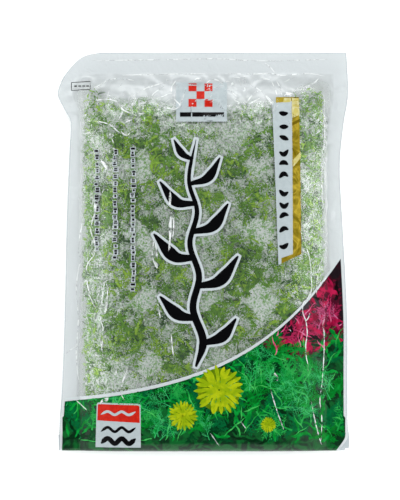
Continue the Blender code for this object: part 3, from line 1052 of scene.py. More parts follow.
    def curl(self, sheet: SheetMesh, rng: random.Random) -> None:
        """Adds one short, curled fold in the slack film over the top of the pouch.

        Args:
            sheet: The mesh it is added to.
            rng: Source of chance.
        """
        start = np.array([rng.uniform(-82, 84), rng.uniform(*self.slack)])
        heading, bend, steps = rng.gauss(0, 0.9), rng.uniform(-0.2, 0.2), rng.randint(6, 15)
        sway = 0.35 * np.sin(np.arange(steps) * rng.uniform(0.4, 1.1))
        line = walk(start, heading + bend * np.arange(steps) + sway)
        if np.abs(line[:, 0]).max() < self.slack_half_width and line[:, 1].max() < self.slack[1] + 3:
            swell = np.sin(np.pi * np.clip(np.linspace(0, 1, steps), 0.06, 0.94))
            self.ridge(sheet, line, rng.uniform(0.14, 0.34) * swell, self.curl_cover)

    def ridge(self, sheet: SheetMesh, line: np.ndarray, half: np.ndarray, cover: float) -> None:
        """Adds one fold, highest along its middle.

        Args:
            sheet: The mesh it is added to.
            line: Its middle line.
            half: Half its width along the line.
            cover: How white it is.
        """
        sheet.ribbon(line, half, self.lift, crest=self.steepness * half, values={"tone": cover})


@dataclass
class Cell:
    """The space of one bunch or salt cake, read from its plain solid."""

    node: str
    outline: np.ndarray = field(init=False)
    middle: np.ndarray = field(init=False)
    outward: np.ndarray = field(init=False)
    gap: np.ndarray = field(init=False)

    def __post_init__(self) -> None:
        """Reads the solid's outline from above, and the side planes that bound it."""
        corners = [vertex.co.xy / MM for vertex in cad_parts[self.node].data.vertices]
        hull = np.array([corners[i] for i in convex_hull_2d(corners)])
        self.outline = hull[np.linalg.norm(hull - np.roll(hull, 1, axis=0), axis=1) > 0.05]
        self.middle = self.outline.mean(axis=0)
        sides = np.roll(self.outline, -1, axis=0) - self.outline
        sides /= np.linalg.norm(sides, axis=1, keepdims=True)
        normals = np.stack([sides[:, 1], -sides[:, 0]], axis=1)
        gap = ((self.outline - self.middle) * normals).sum(axis=1)
        self.outward, self.gap = normals * np.sign(gap)[:, None], np.abs(gap)

    def inside(self, points: np.ndarray, margin: float = 0.0) -> np.ndarray:
        """Whether points lie in the cell.

        Args:
            points: Places in millimetres, one a row.
            margin: How far outside its outline still counts.

        Returns:
            True for each place inside.
        """
        return ((points - self.middle) @ self.outward.T < self.gap + margin).all(axis=1)

    def reach(self, turn: np.ndarray) -> np.ndarray:
        """Distance from the middle to the outline in each direction."""
        towards = np.stack([np.cos(turn), np.sin(turn)], axis=-1) @ self.outward.T
        return np.where(towards > 1e-6, self.gap / np.maximum(towards, 1e-6), 1e3).min(axis=-1)

    def scatter(self, count: int, seed: int, share: Field, margin: float) -> np.ndarray:
        """Places at random in the cell.

        Args:
            count: How many places are wanted.
            seed: Which places.
            share: How likely a place is to be taken, from 0 to 1.
            margin: How far outside the outline they may lie.

        Returns:
            The places in millimetres, one a row, and fewer than wanted where too few are likely.
        """
        low, high = self.outline.min(axis=0) - margin, self.outline.max(axis=0) + margin
        tries = np.random.default_rng(seed).random((count * 8, 3))
        places = low + tries[:, :2] * (high - low)
        taken = (tries[:, 2] < share(places[:, 0], places[:, 1])) & self.inside(places, margin)
        return places[taken][:count]


class Face(Enum):
    """Which film a piece lies against."""

    FRONT = 1
    BACK = -1

    def limit(self, x: np.ndarray, y: np.ndarray) -> np.ndarray:
        """Height at which what is inside meets this film."""
        if self is Face.FRONT:
            return FORM.front(x, y) - FORM.front_clearance + np.minimum(0.0, FORM.folds(x, y))
        return FORM.back(x, y) + FORM.back_clearance

    def settle(self, x: np.ndarray, y: np.ndarray, depth: np.ndarray) -> np.ndarray:
        """Height of a point this deep under the film, or less deep where there is little room."""
        room = Face.FRONT.limit(x, y) - Face.BACK.limit(x, y)
        return self.limit(x, y) - self.value * np.clip(depth, FORM.least_depth, FORM.deepest_share * room)


@dataclass(frozen=True)
class Frost:
    """How the salt lies on the seaweed: in patches within patches, and most towards the top."""

    level: float = 0.79
    patch_size: float = 19.0
    patch_share: float = 2.1
    speck_size: float = 5.0
    speck_share: float = 1.5
    upper: Place = (60.0, 104.0)
    upper_share: float = 0.20
    lower: Place = (10.0, -90.0)
    lower_share: float = 0.10
    drift: Place = (76.0, 96.0)
    drift_x: float = -4.0
    drift_beside: Place = (22.0, 48.0)
    drift_share: float = 0.35

    def at(self, x: np.ndarray, y: np.ndarray) -> np.ndarray:
        """How much salt lies at a place: none at 0 and less, and enough at 1 to hide the blade."""
        patches = layered_noise(x, y, self.patch_size, 41, 3) - 0.5
        specks = layered_noise(x + 0.6 * y, y - 0.2 * x, self.speck_size, 77, 2) - 0.5
        height = self.upper_share * eased(*self.upper, y) - self.lower_share * eased(*self.lower, y)
        beside = eased(*self.drift_beside, np.abs(x - self.drift_x))
        height = height + self.drift_share * eased(*self.drift, y) * (1 - beside)
        return self.level + patches * self.patch_share + specks * self.speck_share + height

    def likely(self, x: np.ndarray, y: np.ndarray) -> np.ndarray:
        """How likely a grain is to lie at a place, from 0 to 1."""
        return np.clip(self.at(x, y), 0, 1) ** 1.5


@dataclass
class Lump:
    """A closed body that fills a cell between the films."""

    cell: Cell
    depth: float
    rough: float
    spread: float = 1.12
    lump_size: float = 4.5
    around: int = 48
    down: int = 34

    def add(self, sheet: SheetMesh, seed: int, tone: float) -> None:
        """Adds the body to a mesh.

        Args:
            sheet: The mesh.
            seed: Which lumps it has.
            tone: Its colour value.
        """
        made = bmesh.ops.create_uvsphere(
            sheet.bm, u_segments=self.around, v_segments=self.down, radius=1.0)["verts"]
        co = np.array([vertex.co[:] for vertex in made])
        polar = np.arccos(np.clip(co[:, 2], -1, 1)) / math.pi
        turn = np.arctan2(co[:, 1], co[:, 0])
        share = np.where(polar <= 0.5, polar * 2, 2 - polar * 2)
        out = self.cell.reach(turn) * share * self.spread
        x = self.cell.middle[0] + out * np.cos(turn)
        y = self.cell.middle[1] + out * np.sin(turn)
        top, bottom = Face.FRONT.limit(x, y), Face.BACK.limit(x, y)
        room = np.maximum(0.5, top - bottom)
        lumps = (layered_noise(x, y, self.lump_size, seed, 3) - 0.4) * self.rough
        sink = np.clip(self.depth + lumps, 0.1, 0.35 * room)
        middle = (top + bottom) / 2
        flank = np.clip((1 - share) * self.down / 2, 0, 1)
        upper, lower = middle + (top - sink - middle) * flank, middle - (middle - bottom - sink) * flank
        z = np.where(polar <= 0.5, upper, lower)
        layer = sheet.layer("tone") if sheet.names else None
        for i, vertex in enumerate(made):
            vertex.co = (x[i] * MM, y[i] * MM, z[i] * MM)
            if layer:
                vertex[layer] = tone


@dataclass
class Tuft:
    """One bunch of seaweed: curled, ruffled blades packed over a darker tangle, dusted with salt."""

    number: int
    top_fronds: int = 118
    under_fronds: int = 14
    grains: int = 860
    grain_sizes: Place = (0.35, 0.8)
    clean: float = 0.38
    thickness: float = 0.22
    stride: float = 1.35
    overhang: float = 4.0
    top_overhang: float = 15.0
    top_row: float = 62.0
    core_depth: float = 1.15
    core_rough: float = 2.0
    core_tone: float = 0.42
    frost: Frost = field(default_factory=Frost)

    def frond(self, sheet: SheetMesh, cell: Cell, rng: random.Random) -> None:
        """Adds one curled, forked frond.

        Args:
            sheet: The mesh.
            cell: The bunch's space.
            rng: Source of chance.
        """
        turn = rng.uniform(0, math.tau)
        outwards = np.array([math.cos(turn), math.sin(turn)])
        start = cell.middle + outwards * float(cell.reach(np.array(turn))) * math.sqrt(rng.random())
        clean = rng.random() < self.clean
        look = {
            "tone": min(1.0, max(0.0, rng.gauss(0.56 if clean else 0.42, 0.24))),
            "frost": rng.uniform(-0.85, -0.4) if clean else rng.uniform(-0.35, 0.05)}
        depth = rng.uniform(0.1, 0.6) if clean else rng.uniform(0.3, 1.4)
        heading, width = rng.uniform(0, math.tau), rng.uniform(0.6, 1.35)
        stem = self.blade(sheet, cell, rng, start, heading, rng.randint(6, 13), width, depth, look)
        for _ in range(rng.randint(1, 4) if len(stem) > 5 else 0):
            k = rng.randrange(1, len(stem) - 1)
            along = stem[k + 1] - stem[k]
            fork = math.atan2(along[1], along[0]) + rng.choice((-1, 1)) * rng.uniform(0.5, 1.1)
            self.blade(sheet, cell, rng, stem[k], fork, rng.randint(4, 6), width * 0.8, depth - 0.1, look)

    def blade(self, sheet: SheetMesh, cell: Cell, rng: random.Random, start: np.ndarray, heading: float,
              steps: int, width: float, deep: float, look: dict[str, float]) -> np.ndarray:
        """Adds one blade of a frond.

        Args:
            sheet: The mesh.
            cell: The bunch's space.
            rng: Source of chance.
            start: Its foot in millimetres.
            heading: The way it grows.
            steps: How many steps long it is.
            width: Half its width in millimetres.
            deep: How deep it lies under its film.
            look: Its tone and the salt that it holds.

        Returns:
            Its middle line, which is short where it would leave the bunch.
        """
        bend, sway = rng.uniform(-0.2, 0.2), rng.uniform(0.0, 0.3)
        turns = heading + np.cumsum(bend + sway * np.sin(np.arange(steps) * 0.9))
        line = np.vstack([start, walk(start, turns, self.stride)])
        over = self.top_overhang if cell.middle[1] > self.top_row else self.overhang
        line = leading(line, cell.inside(line, over) & (line[:, 1] < FORM.crown(line[:, 0])))
        if len(line) < 4:
            return line
        run = np.linspace(0, 1, len(line))
        lobes = 0.65 + 0.45 * np.abs(np.sin(run * rng.uniform(3, 9) + rng.random() * 3))
        half = width * lobes * np.minimum(1.0, 2.4 * (1.08 - run)) * np.minimum(1.0, 0.4 + 3 * run)
        depth = 0.3 + deep + 0.3 * np.sin(run * rng.uniform(2, 6) + rng.random() * 6)
        ruffle = 0.38 * np.sin(run * len(line) * rng.uniform(0.8, 1.4) + rng.random() * 6)
        sheet.ribbon(line, half, depth, 1, ruffle, values=look)
        return line

    def build(self, green: bpy.types.Material, salt: bpy.types.Material) -> None:
        """Makes the bunch and its salt.

        Args:
            green: The seaweed's material.
            salt: The salt's material.
        """
        rng = random.Random(100 + self.number)
        cell = Cell(f"tuft_{self.number:02d}")
        sheet = SheetMesh("tone", "frost")
        for face, count in ((Face.FRONT, self.top_fronds), (Face.BACK, self.under_fronds)):
            sheet.settle = face.settle
            for _ in range(count):
                self.frond(sheet, cell, rng)
            sheet.flush()
        bmesh.ops.solidify(sheet.bm, geom=sheet.bm.faces[:], thickness=self.thickness * MM)
        Lump(cell, self.core_depth, self.core_rough).add(sheet, 200 + self.number, self.core_tone)
        tree = BVHTree.FromBMesh(sheet.bm)
        made = sheet.obj(f"seaweed_{self.number:02d}", green, Slot.SEAWEED)
        self.add_frost(made.data)
        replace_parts(made, cell.node)
        self.dust(cell, tree, rng, salt)

    def add_frost(self, mesh: bpy.types.Mesh) -> None:
        """Adds the salt that lies at each vertex to what its blade holds of it."""
        count = len(mesh.vertices)
        places, held = np.empty(count * 3), np.empty(count)
        mesh.vertices.foreach_get("co", places)
        mesh.attributes["frost"].data.foreach_get("value", held)
        x, y = places[0::3] / MM, places[1::3] / MM
        frost = np.clip(held + self.frost.at(x, y), 0, 1)
        mesh.attributes["frost"].data.foreach_set("value", frost)

    def dust(self, cell: Cell, tree: BVHTree, rng: random.Random, salt: bpy.types.Material) -> None:
        """Adds the salt grains that lie on the blades, thickest where the frost is.

        Args:
            cell: The bunch's space.
            tree: Search tree of the bunch's surface.
            rng: Source of chance.
            salt: The grains' material.
        """
        places = []
        for x, y in cell.scatter(self.grains, 900 + self.number, self.frost.likely, 2.0):
            ceiling = float(Face.FRONT.limit(x, y))
            hit = tree.ray_cast(Vector((x, y, ceiling + 3)) * MM, Vector((0, 0, -1)))[0]
            if hit is not None:
                places.append(Vector((hit.x, hit.y, min(hit.z + 0.12 * MM, ceiling * MM))))
        sheet = SheetMesh()
        sheet.grains(places, rng, self.grain_sizes)
        sheet.obj(f"salt_dust_{self.number:02d}", salt, Slot.SALT)


@dataclass
class LooseBits:
    """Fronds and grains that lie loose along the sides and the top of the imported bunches."""

    fronds: int = 880
    grains: int = 3900
    grain_sizes: Place = (0.3, 0.75)
    thickness: float = 0.2
    stride: float = 0.9
    side: float = 79.0
    top: float = 97.0
    half_width: float = 85.5
    lowest_y: float = -100.0
    highest_y: float = 117.0

    def places(self, count: int, seed: int) -> np.ndarray:
        """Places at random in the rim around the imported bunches.

        Args:
            count: How many places are wanted.
            seed: Which places.

        Returns:
            The places in millimetres, one a row.
        """
        tries = np.random.default_rng(seed).random((count * 14, 3))
        x = -self.half_width + 2 * self.half_width * tries[:, 0]
        y = self.lowest_y + (self.highest_y - self.lowest_y) * tries[:, 1]
        rim = np.maximum(np.abs(x) - self.side, y - self.top)
        likely = np.where(rim > -2.5, 1.0 - 0.65 * ramp(0.0, 14.0, np.abs(x) - self.side), 0.0)
        likely *= y < FORM.crown(x) - 1.5
        likely *= np.where(y < FORM.swoop(x) - 4, 0.2, 1.0) * (FORM.fullness(x, y) > 0.03)
        return np.stack([x, y], axis=1)[tries[:, 2] < likely][:count]

    def build(self, green: bpy.types.Material, salt: bpy.types.Material) -> None:
        """Makes the loose fronds and grains.

        Args:
            green: The seaweed's material.
            salt: The salt's material.
        """
        rng = random.Random(77)
        sheet = SheetMesh("tone", "frost", settle=Face.FRONT.settle)
        for start in self.places(self.fronds, 61):
            self.frond(sheet, rng, start)
        sheet.flush()
        bmesh.ops.solidify(sheet.bm, geom=sheet.bm.faces[:], thickness=self.thickness * MM)
        sheet.obj("loose_fronds", green, Slot.SEAWEED)
        spots = self.places(self.grains, 62)
        heights = Face.FRONT.settle(spots[:, 0], spots[:, 1], np.full(len(spots), 0.5))
        loose = SheetMesh()
        middles = [Vector(place) * MM for place in np.column_stack([spots, heights]).tolist()]
        loose.grains(middles, rng, self.grain_sizes)
        loose.obj("loose_salt", salt, Slot.SALT)

    def frond(self, sheet: SheetMesh, rng: random.Random, start: np.ndarray) -> None:
        """Adds one short frond, unless it would reach into a seal.

        Args:
            sheet: The mesh.
            rng: Source of chance.
            start: Its foot in millimetres.
        """
        heading, bend = rng.uniform(0, math.tau), rng.uniform(-0.4, 0.4)
        line = walk(start, heading + bend * np.arange(rng.randint(4, 8)), self.stride)
        if (FORM.fullness(line[:, 0], line[:, 1]) < 0.02).any():
            return
        run = np.linspace(0, 1, len(line))
        taper = np.minimum(1.0, 2.4 * (1.1 - run)) * np.minimum(1.0, 0.3 + 3 * run)
        half, depth = rng.uniform(0.35, 0.9) * taper, rng.uniform(0.2, 0.9)
        look = {"tone": min(1.0, max(0.0, rng.gauss(0.6, 0.2))), "frost": rng.uniform(0.0, 0.55)}
        sheet.ribbon(line, half, depth, 1, 0.15 * np.sin(6 * run), values=look)


@dataclass
class SaltCake:
    """A cake of salt between the bunches, with loose grains on it."""

    number: int
    grains: int = 260
    grain_sizes: Place = (0.4, 0.95)
    depth: float = 1.0
    rough: float = 1.8

    def build(self, salt: bpy.types.Material) -> None:
        """Makes the cake.

        Args:
            salt: Its material.
        """
        rng = random.Random(500 + self.number)
        cell = Cell(f"salt_{self.number:02d}")
        sheet = SheetMesh()
        Lump(cell, self.depth, self.rough).add(sheet, 300 + self.number, 0.0)
        tree = BVHTree.FromBMesh(sheet.bm)
        places = []
        for x, y in cell.scatter(self.grains, 950 + self.number, lambda x, y: np.ones_like(x), -0.3):
            hit = tree.ray_cast(Vector((x, y, 40)) * MM, Vector((0, 0, -1)))[0]
            if hit is not None:
                places.append(hit)
        sheet.grains(places, rng, self.grain_sizes)
        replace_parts(sheet.obj(f"salt_cake_{self.number:02d}", salt, Slot.SALT), cell.node)


@dataclass(frozen=True)
class Printing:
    """One colour of the band: its two inks, and the number, height and half width of its shapes."""

    name: str
    first: Colour
    second: Colour
    count: int
    lift: float
    width: float


@dataclass
class BandPrint:
    """The lower band's generic pattern: sprigs in greens and crimson, and plain yellow rosettes."""

    crimson_sprigs: Sequence[Printing] = (
        Printing("sprigs_deep_crimson", ink(112, 12, 46), ink(70, 4, 30), 13, 0.09, 1.5),
        Printing("sprigs_crimson", ink(176, 36, 84), ink(136, 20, 60), 5, 0.11, 0.9),
        Printing("sprigs_pink", ink(206, 116, 158), ink(178, 66, 112), 2, 0.13, 0.3),
    )
    crimson_strands: Sequence[Printing] = (
        Printing("strands_black", ink(20, 2, 8), ink(6, 0, 2), 14, 0.105, 1.2),
        Printing("strands_crimson", ink(192, 22, 76), ink(128, 6, 44), 26, 0.12, 1.25),
        Printing("strands_pink", ink(222, 120, 158), ink(200, 50, 100), 14, 0.14, 0.4),
    )
    under_sprigs: Sequence[Printing] = (
        Printing("sprigs_shadow_green", ink(0, 74, 34), ink(0, 52, 22), 50, 0.06, 0.8),
        Printing("sprigs_sea_green", ink(0, 112, 56), ink(0, 92, 48), 54, 0.09, 0.8),
    )
    green_strands: Sequence[Printing] = (
        Printing("strands_dark_green", ink(0, 54, 22), ink(0, 38, 14), 56, 0.10, 1.1),
        Printing("strands_green", ink(10, 156, 58), ink(0, 124, 40), 80, 0.135, 0.95),
        Printing("strands_bright_green", ink(74, 190, 92), ink(30, 160, 66), 64, 0.165, 0.42),
    )
    over_sprigs: Sequence[Printing] = (
        Printing("sprigs_leaf_green", ink(4, 138, 44), ink(0, 108, 30), 46, 0.12, 0.75),
        Printing("sprigs_bright_green", ink(46, 168, 76), ink(14, 144, 58), 24, 0.15, 0.65),
        Printing("sprigs_light_green", ink(70, 196, 118), ink(30, 164, 84), 22, 0.18, 0.28),
    )
    yellow: InkFinish = InkFinish("yellow_ink", ink(182, 196, 20), ink(142, 170, 12), 5.0)
    shaded_yellow: InkFinish = InkFinish("shaded_yellow_ink", ink(112, 134, 8), ink(84, 120, 6), 4.0)
    discs: Sequence[tuple[float, float, float]] = ((219, 389, 25), (183, 415, 15), (268, 424, 8))
    petals: Sequence[tuple[float, float, int]] = ((0.5, 1.0, 22), (0.28, 0.72, 17), (0.04, 0.42, 11))
    petal_widths: Sequence[float] = (0.5, 0.8, 1.0, 1.0, 0.8, 0.25)
    petal_share: float = 0.075
    half_width: float = 98.0
    lowest_y: float = -134.0
    top_margin: float = 1.2
    side_margin: float = 2.6

    def sprig(self, rng: random.Random, start: np.ndarray, heading: float, length: float, width: float,
              order: int) -> list[tuple[np.ndarray, np.ndarray]]:
        """Draws a branched sprig.

        Args:
            rng: Source of chance.
            start: Its foot.
            heading: The way it grows.
            length: Its length.
            width: Half the width of its stem.
            order: How many times it branches again.

        Returns:
            Lines with half widths.
        """
        bend = rng.uniform(-0.5, 0.5)
        run = np.linspace(0, 1, 7 if order else 4)
        turn = heading + bend * run
        line = walk(start, turn, length / len(run))
        drawn = [(line, width * (1.1 - 0.85 * run))]
        if order:
            for k in range(1, 7):
                side = 1 if k % 2 else -1
                for flank in ((side, -side) if order > 1 and k > 2 else (side,)):
                    drawn += self.sprig(
                        rng, line[k], turn[k] + flank * rng.uniform(0.5, 0.95),
                        length * rng.uniform(0.26, 0.46), width * 0.72, order - 1)
        return drawn

    def allowed(self, line: np.ndarray) -> np.ndarray:
        """Whether each place of a line is on the band."""
        x, y = line[:, 0], line[:, 1]
        below = (y < FORM.swoop(x) - self.top_margin) & (y > self.lowest_y)
        return below & (FORM.inset(x, y) > self.side_margin)

    def feet(self, count: int, rng: random.Random, wanted: Wanted) -> Iterator[np.ndarray]:
        """Places at random on the band.

        Args:
            count: How many places there are.
            rng: Source of chance.
            wanted: Whether a shape may stand at a place.

        Yields:
            One place after another, in millimetres.
        """
        made = 0
        while made < count:
            x, y = rng.uniform(-self.half_width, self.half_width), rng.uniform(self.lowest_y, 0)
            if wanted(x, y):
                made += 1
                yield np.array([x, y])

    def sprigs(self, inked: Printing, rng: random.Random, wanted: Wanted) -> None:
        """Prints one colour's sprigs.

        Args:
            inked: The colour and its measures.
            rng: Source of chance.
            wanted: Whether a sprig may stand at a place.
        """
        sheet = SheetMesh(settle=on_film)
        for foot in self.feet(inked.count, rng, wanted):
            heading = rng.uniform(0.1, math.pi - 0.1) if rng.random() < 0.8 else rng.uniform(0, math.tau)
            for line, half in self.sprig(rng, foot, heading, rng.uniform(11, 21), inked.width, 2):
                line = leading(line, self.allowed(line))
                if len(line) > 1:
                    sheet.ribbon(line, half[:len(line)], inked.lift, 1)
        sheet.obj(inked.name, InkFinish(inked.name, inked.first, inked.second, 5.0).material())

    def strands(self, inked: Printing, rng: random.Random, wanted: Wanted) -> None:
        """Prints one colour's broad, wavy strands.

        Args:
            inked: The colour and its measures.
            rng: Source of chance.
            wanted: Whether a strand may start at a place.
        """
        sheet = SheetMesh(settle=on_film)
        for foot in self.feet(inked.count, rng, wanted):
            steps = rng.randint(9, 22)
            heading, bend = rng.gauss(1.3, 0.8), rng.uniform(-0.07, 0.07)
            turns = heading + np.cumsum(bend + 0.16 * np.sin(np.arange(steps) * rng.uniform(0.3, 0.9)))
            line = walk(foot, turns)
            line = leading(line, self.allowed(line))
            if len(line) < 4:
                continue
            run = np.linspace(0, 1, len(line))
            lobes = 0.6 + 0.6 * np.abs(np.sin(run * len(line) * 0.75 + rng.random() * 6))
            taper = np.minimum(1.0, 2.4 * (1.06 - run)) * np.minimum(1.0, 0.3 + 4 * run)
            sheet.ribbon(line, inked.width * rng.uniform(0.7, 1.3) * lobes * taper, inked.lift, 1)
        sheet.obj(inked.name, InkFinish(inked.name, inked.first, inked.second, 5.0).material())

    def rosettes(self, rng: random.Random) -> None:
        """Prints the yellow rosettes, each of rings of petals over a plain disc."""
        grounds, petals = SheetMesh(settle=on_film), SheetMesh(settle=on_film)
        widths = np.array(self.petal_widths)
        points = len(widths)
        for column, row, radius in self.discs:
            middle, size = np.array(spot(column, row)), radius * PHOTO_MM
            grounds.disc(tuple(middle), size * 0.86, 0.165)
            for ring, (first, last, count) in enumerate(self.petals):
                for k in range(count):
                    turn = math.tau * (k + 0.5 * ring) / count + rng.uniform(-0.06, 0.06)
                    out = np.linspace(first, last * rng.uniform(0.92, 1.04), points) * size
                    turns = turn + rng.uniform(-0.12, 0.12) * np.linspace(0, 1, points)
                    line = middle + np.stack([np.cos(turns), np.sin(turns)], axis=1) * out[:, None]
                    petals.ribbon(line, size * self.petal_share * widths, 0.19 + 0.02 * ring)
        grounds.obj("rosette_grounds", self.shaded_yellow.material())
        petals.obj("rosette_petals", self.yellow.material())

    def green_place(self, x: float, y: float) -> bool:
        """Whether green shapes may stand here."""
        right, up = FORM.crimson(x, y)
        return y < float(FORM.swoop(x)) - 3 and not (right > 46 and up > -72)

    def crimson_place(self, x: float, y: float) -> bool:
        """Whether crimson shapes may stand here."""
        right, up = FORM.crimson(x, y)
        return y < float(FORM.swoop(x)) - 2 and right > 44 and up > -80

    def build(self) -> None:
        """Prints the band, from the inks that lie lowest to those on top."""
        rng = random.Random(12)
        for inked in self.crimson_sprigs:
            self.sprigs(inked, rng, self.crimson_place)
        for inked in self.crimson_strands:
            self.strands(inked, rng, self.crimson_place)
        for inked in self.under_sprigs:
            self.sprigs(inked, rng, self.green_place)
        for inked in self.green_strands:
            self.strands(inked, rng, self.green_place)
        self.rosettes(rng)
        for inked in self.over_sprigs:
            self.sprigs(inked, rng, self.green_place)


class Tint(Enum):
    """The inks of the small print, and the painted highlights and painted fold shade on its gold strip, each
    with the name of the piece that it makes.
    """

    PALE = "pale_panels"
    GOLD = "gold_strip"
    # Pale gold quads painted as highlights on the gold strip.
    PAINTED_HIGHLIGHT = "gold_painted_highlights"
    # A dark gold band painted as the shade along the strip's fold.
    PAINTED_FOLD_SHADE = "gold_fold_painted_shade"
    RED = "red_panels"
    BLACK = "brush_sprig"


@dataclass(frozen=True)
class Panel:
    """A four-cornered panel of print, given by its corners in pixels from the lower left one round."""

    tint: Tint
    corners: tuple[Place, Place, Place, Place]
    lift: float
    rounding: float = 0.0
    step: float = 1.2

    def add(self, sheet: SheetMesh) -> None:
        """Adds the panel to a mesh, with its upper corners rounded."""
        a, b, c, d = (np.array(spot(*corner)) for corner in self.corners)
        tall, wide = np.linalg.norm(d - a), np.linalg.norm(b - a)
        u = np.linspace(0, 1, max(3, round(wide / self.step)))[None, :, None]
        v = np.linspace(0, 1, max(3, round(tall / self.step)))
        near = np.zeros_like(v)
        if self.rounding:
            arc = 1 - self.rounding / tall * (1 - np.sin(np.linspace(0, math.pi / 2, 7)))
            v = np.unique(np.concatenate([v, arc]))
            near = np.maximum(0, v - (1 - self.rounding / tall)) * tall
        pull = self.rounding - np.sqrt(np.maximum(0, self.rounding ** 2 - near ** 2))
        v = v[:, None, None]
        left, right = a + (d - a) * v, b + (c - b) * v
        shift = (pull[:, None, None] / wide) * (right - left)
        flat = (left + shift) * (1 - u) + (right - shift) * u
        z = np.full(flat.shape[:2], self.lift)
        sheet.grid(np.concatenate([flat, z[..., None]], axis=2))


@dataclass
class BrushPrint:
    """The window's brush-drawn sprig of weed, black with a pale halo, and the plain small print.

    Its places are the picture's pixels, and its widths and heights above the film are millimetres.
    """

    stem: Trace = (
        (196, 366), (203, 340), (193, 308), (199, 276), (190, 244), (197, 212), (189, 180), (196, 140))
    leaves: Sequence[tuple[Place, Place, Place, float]] = (
        ((202, 343), (222, 336), (236, 318), 3.4), ((197, 318), (178, 314), (160, 296), 3.6),
        ((198, 286), (220, 280), (238, 256), 3.6), ((193, 258), (174, 256), (154, 234), 3.8),
        ((193, 232), (213, 226), (228, 204), 3.4), ((194, 204), (176, 202), (160, 182), 3.2),
        ((191, 184), (208, 178), (220, 158), 2.8), ((193, 160), (182, 154), (174, 140), 2.2),
    )
    panels: Sequence[Panel] = (
        Panel(Tint.PALE, ((278, 265), (292.5, 258), (292, 101), (272, 103)), 0.08),
        Panel(Tint.GOLD, ((292.5, 258), (301, 254), (299, 97), (291.5, 97)), 0.08),
        Panel(Tint.GOLD, ((276, 103), (291.5, 101), (291.5, 97), (276, 97)), 0.085),
        Panel(Tint.GOLD, ((281, 263.5), (292.5, 258), (292.5, 254), (281, 258)), 0.12),
        # Painted highlights on the gold strip, and under them a painted shade along its fold.
        Panel(Tint.PAINTED_HIGHLIGHT, ((292, 118), (299.5, 115), (299, 98), (292, 98)), 0.115),
        Panel(Tint.PAINTED_HIGHLIGHT, ((293, 167), (300.5, 158), (300.3, 152), (293, 160)), 0.115),
        Panel(Tint.PAINTED_HIGHLIGHT, ((283, 102.5), (291, 102), (291, 98), (284, 98)), 0.115),
        Panel(Tint.PAINTED_FOLD_SHADE, ((292, 126), (299.5, 122), (299.5, 119), (292, 123)), 0.115),
        Panel(Tint.PALE, ((176, 122), (227, 122), (227, 82), (176, 82)), 0.05),
        Panel(Tint.BLACK, ((180, 117), (224, 117), (224, 112.5), (180, 112.5)), 0.11),
        Panel(Tint.PALE, ((95.5, 447), (141, 447), (141, 403), (97, 402)), 0.17, 1.6),
        Panel(Tint.RED, ((97.5, 420), (140, 422), (139.8, 404.6), (98, 403.6)), 0.20, 1.2),
    )
    inks: Sequence[tuple[Tint, InkFinish | GoldFinish]] = (
        (Tint.PALE, InkFinish("pale_panel_ink", ink(192, 202, 205), ink(186, 196, 199))),
        (Tint.GOLD, GoldFinish()),
        # Inks of the painted highlights and the painted fold shade.
        (Tint.PAINTED_HIGHLIGHT, InkFinish("gold_painted_highlight_ink", ink(206, 192, 108), ink(226, 220, 172), 4.0)),
        (Tint.PAINTED_FOLD_SHADE, InkFinish("gold_painted_shade_ink", ink(118, 98, 6))),
        (Tint.RED, InkFinish("red_ink", ink(214, 44, 28), ink(196, 34, 24))),
    )
    black: InkFinish = InkFinish("black_ink", ink(10, 10, 12), roughness=0.22)
    pale: InkFinish = InkFinish("pale_halo_ink", ink(206, 214, 217), ink(198, 207, 210))
    halo: float = 2.0
    halo_lift: float = 0.07
    brush_lift: float = 0.12
    dot_columns: Sequence[tuple[float, float, float]] = ((97, 150, 250), (115.5, 150, 258), (133.5, 148, 290))
    dot_heights: Sequence[float] = (2.6, 3.6, 5.0)
    dot_gaps: Sequence[float] = (1.6, 2.2, 3.4)
    dot_edge: float = 0.35
    mark_count: int = 11
    mark_column: float = 283.5
    mark_first_row: float = 112.0
    mark_spacing: float = 13.2
    mark_reach: float = 4.5
    check_corner: Place = (188.5, 107.0)
    check_side: float = 8.0
    waves: Sequence[tuple[Tint, float, float, float]] = (
        (Tint.PALE, 412.5, 1.6, 0.9), (Tint.BLACK, 429.0, 2.2, 1.0), (Tint.BLACK, 440.5, 2.6, 1.7))
    wave_column: float = 101.0
    wave_spacing: float = 7.0
    tear_box: Trace = ((71, 90), (90, 89), (90, 81), (71, 82), (71, 90))
    tear_dash: Place = (74, 85.6)
    tear_spacing: float = 4.0

    def strokes(self) -> list[tuple[np.ndarray, np.ndarray]]:
        """Draws the sprig: a bent stem with leaf strokes to either side.

        Returns:
            Lines with half widths.
        """
        line = traced(self.stem, 1.2)
        run = np.linspace(0, 1, len(line))
        ends = np.minimum(1, 0.25 + 8 * run) * np.minimum(1, 9 * (1 - run) + 0.12)
        drawn = [(line, (2.9 - 1.9 * run) * ends)]
        for *places, width in self.leaves:
            line = traced(places, 1.2)
            run = np.linspace(0, 1, len(line))
            swell = np.sin(np.pi * (0.12 + 0.86 * run)) ** 0.7
            drawn.append((line, width * swell * (1 - 0.15 * np.sin(9 * run))))
        return drawn

    def build(self) -> None:
        """Prints the sprig, the columns of dots, the strip, the mark, the label and the tear mark."""
        halo, body = SheetMesh(settle=on_film), SheetMesh(settle=on_film)
        for line, half in self.strokes():
            ends = ((line[0], line[0] - line[1]), (line[-1], line[-1] - line[-2]))
            before, after = (end + way / np.linalg.norm(way) * self.halo * 0.8 for end, way in ends)
            longer = np.vstack([before, line, after])
            wider = np.concatenate([[0.02], half, [0.02]]) + self.halo * 0.9
            halo.ribbon(longer, wider, self.halo_lift, 6)
            body.ribbon(line, half, self.brush_lift, 4)
        self.columns(halo, body)
        self.small_print(body)
        self.tear_mark(body)
        halo.obj("brush_halo", self.pale.material())
        body.obj(Tint.BLACK.value, self.black.material())

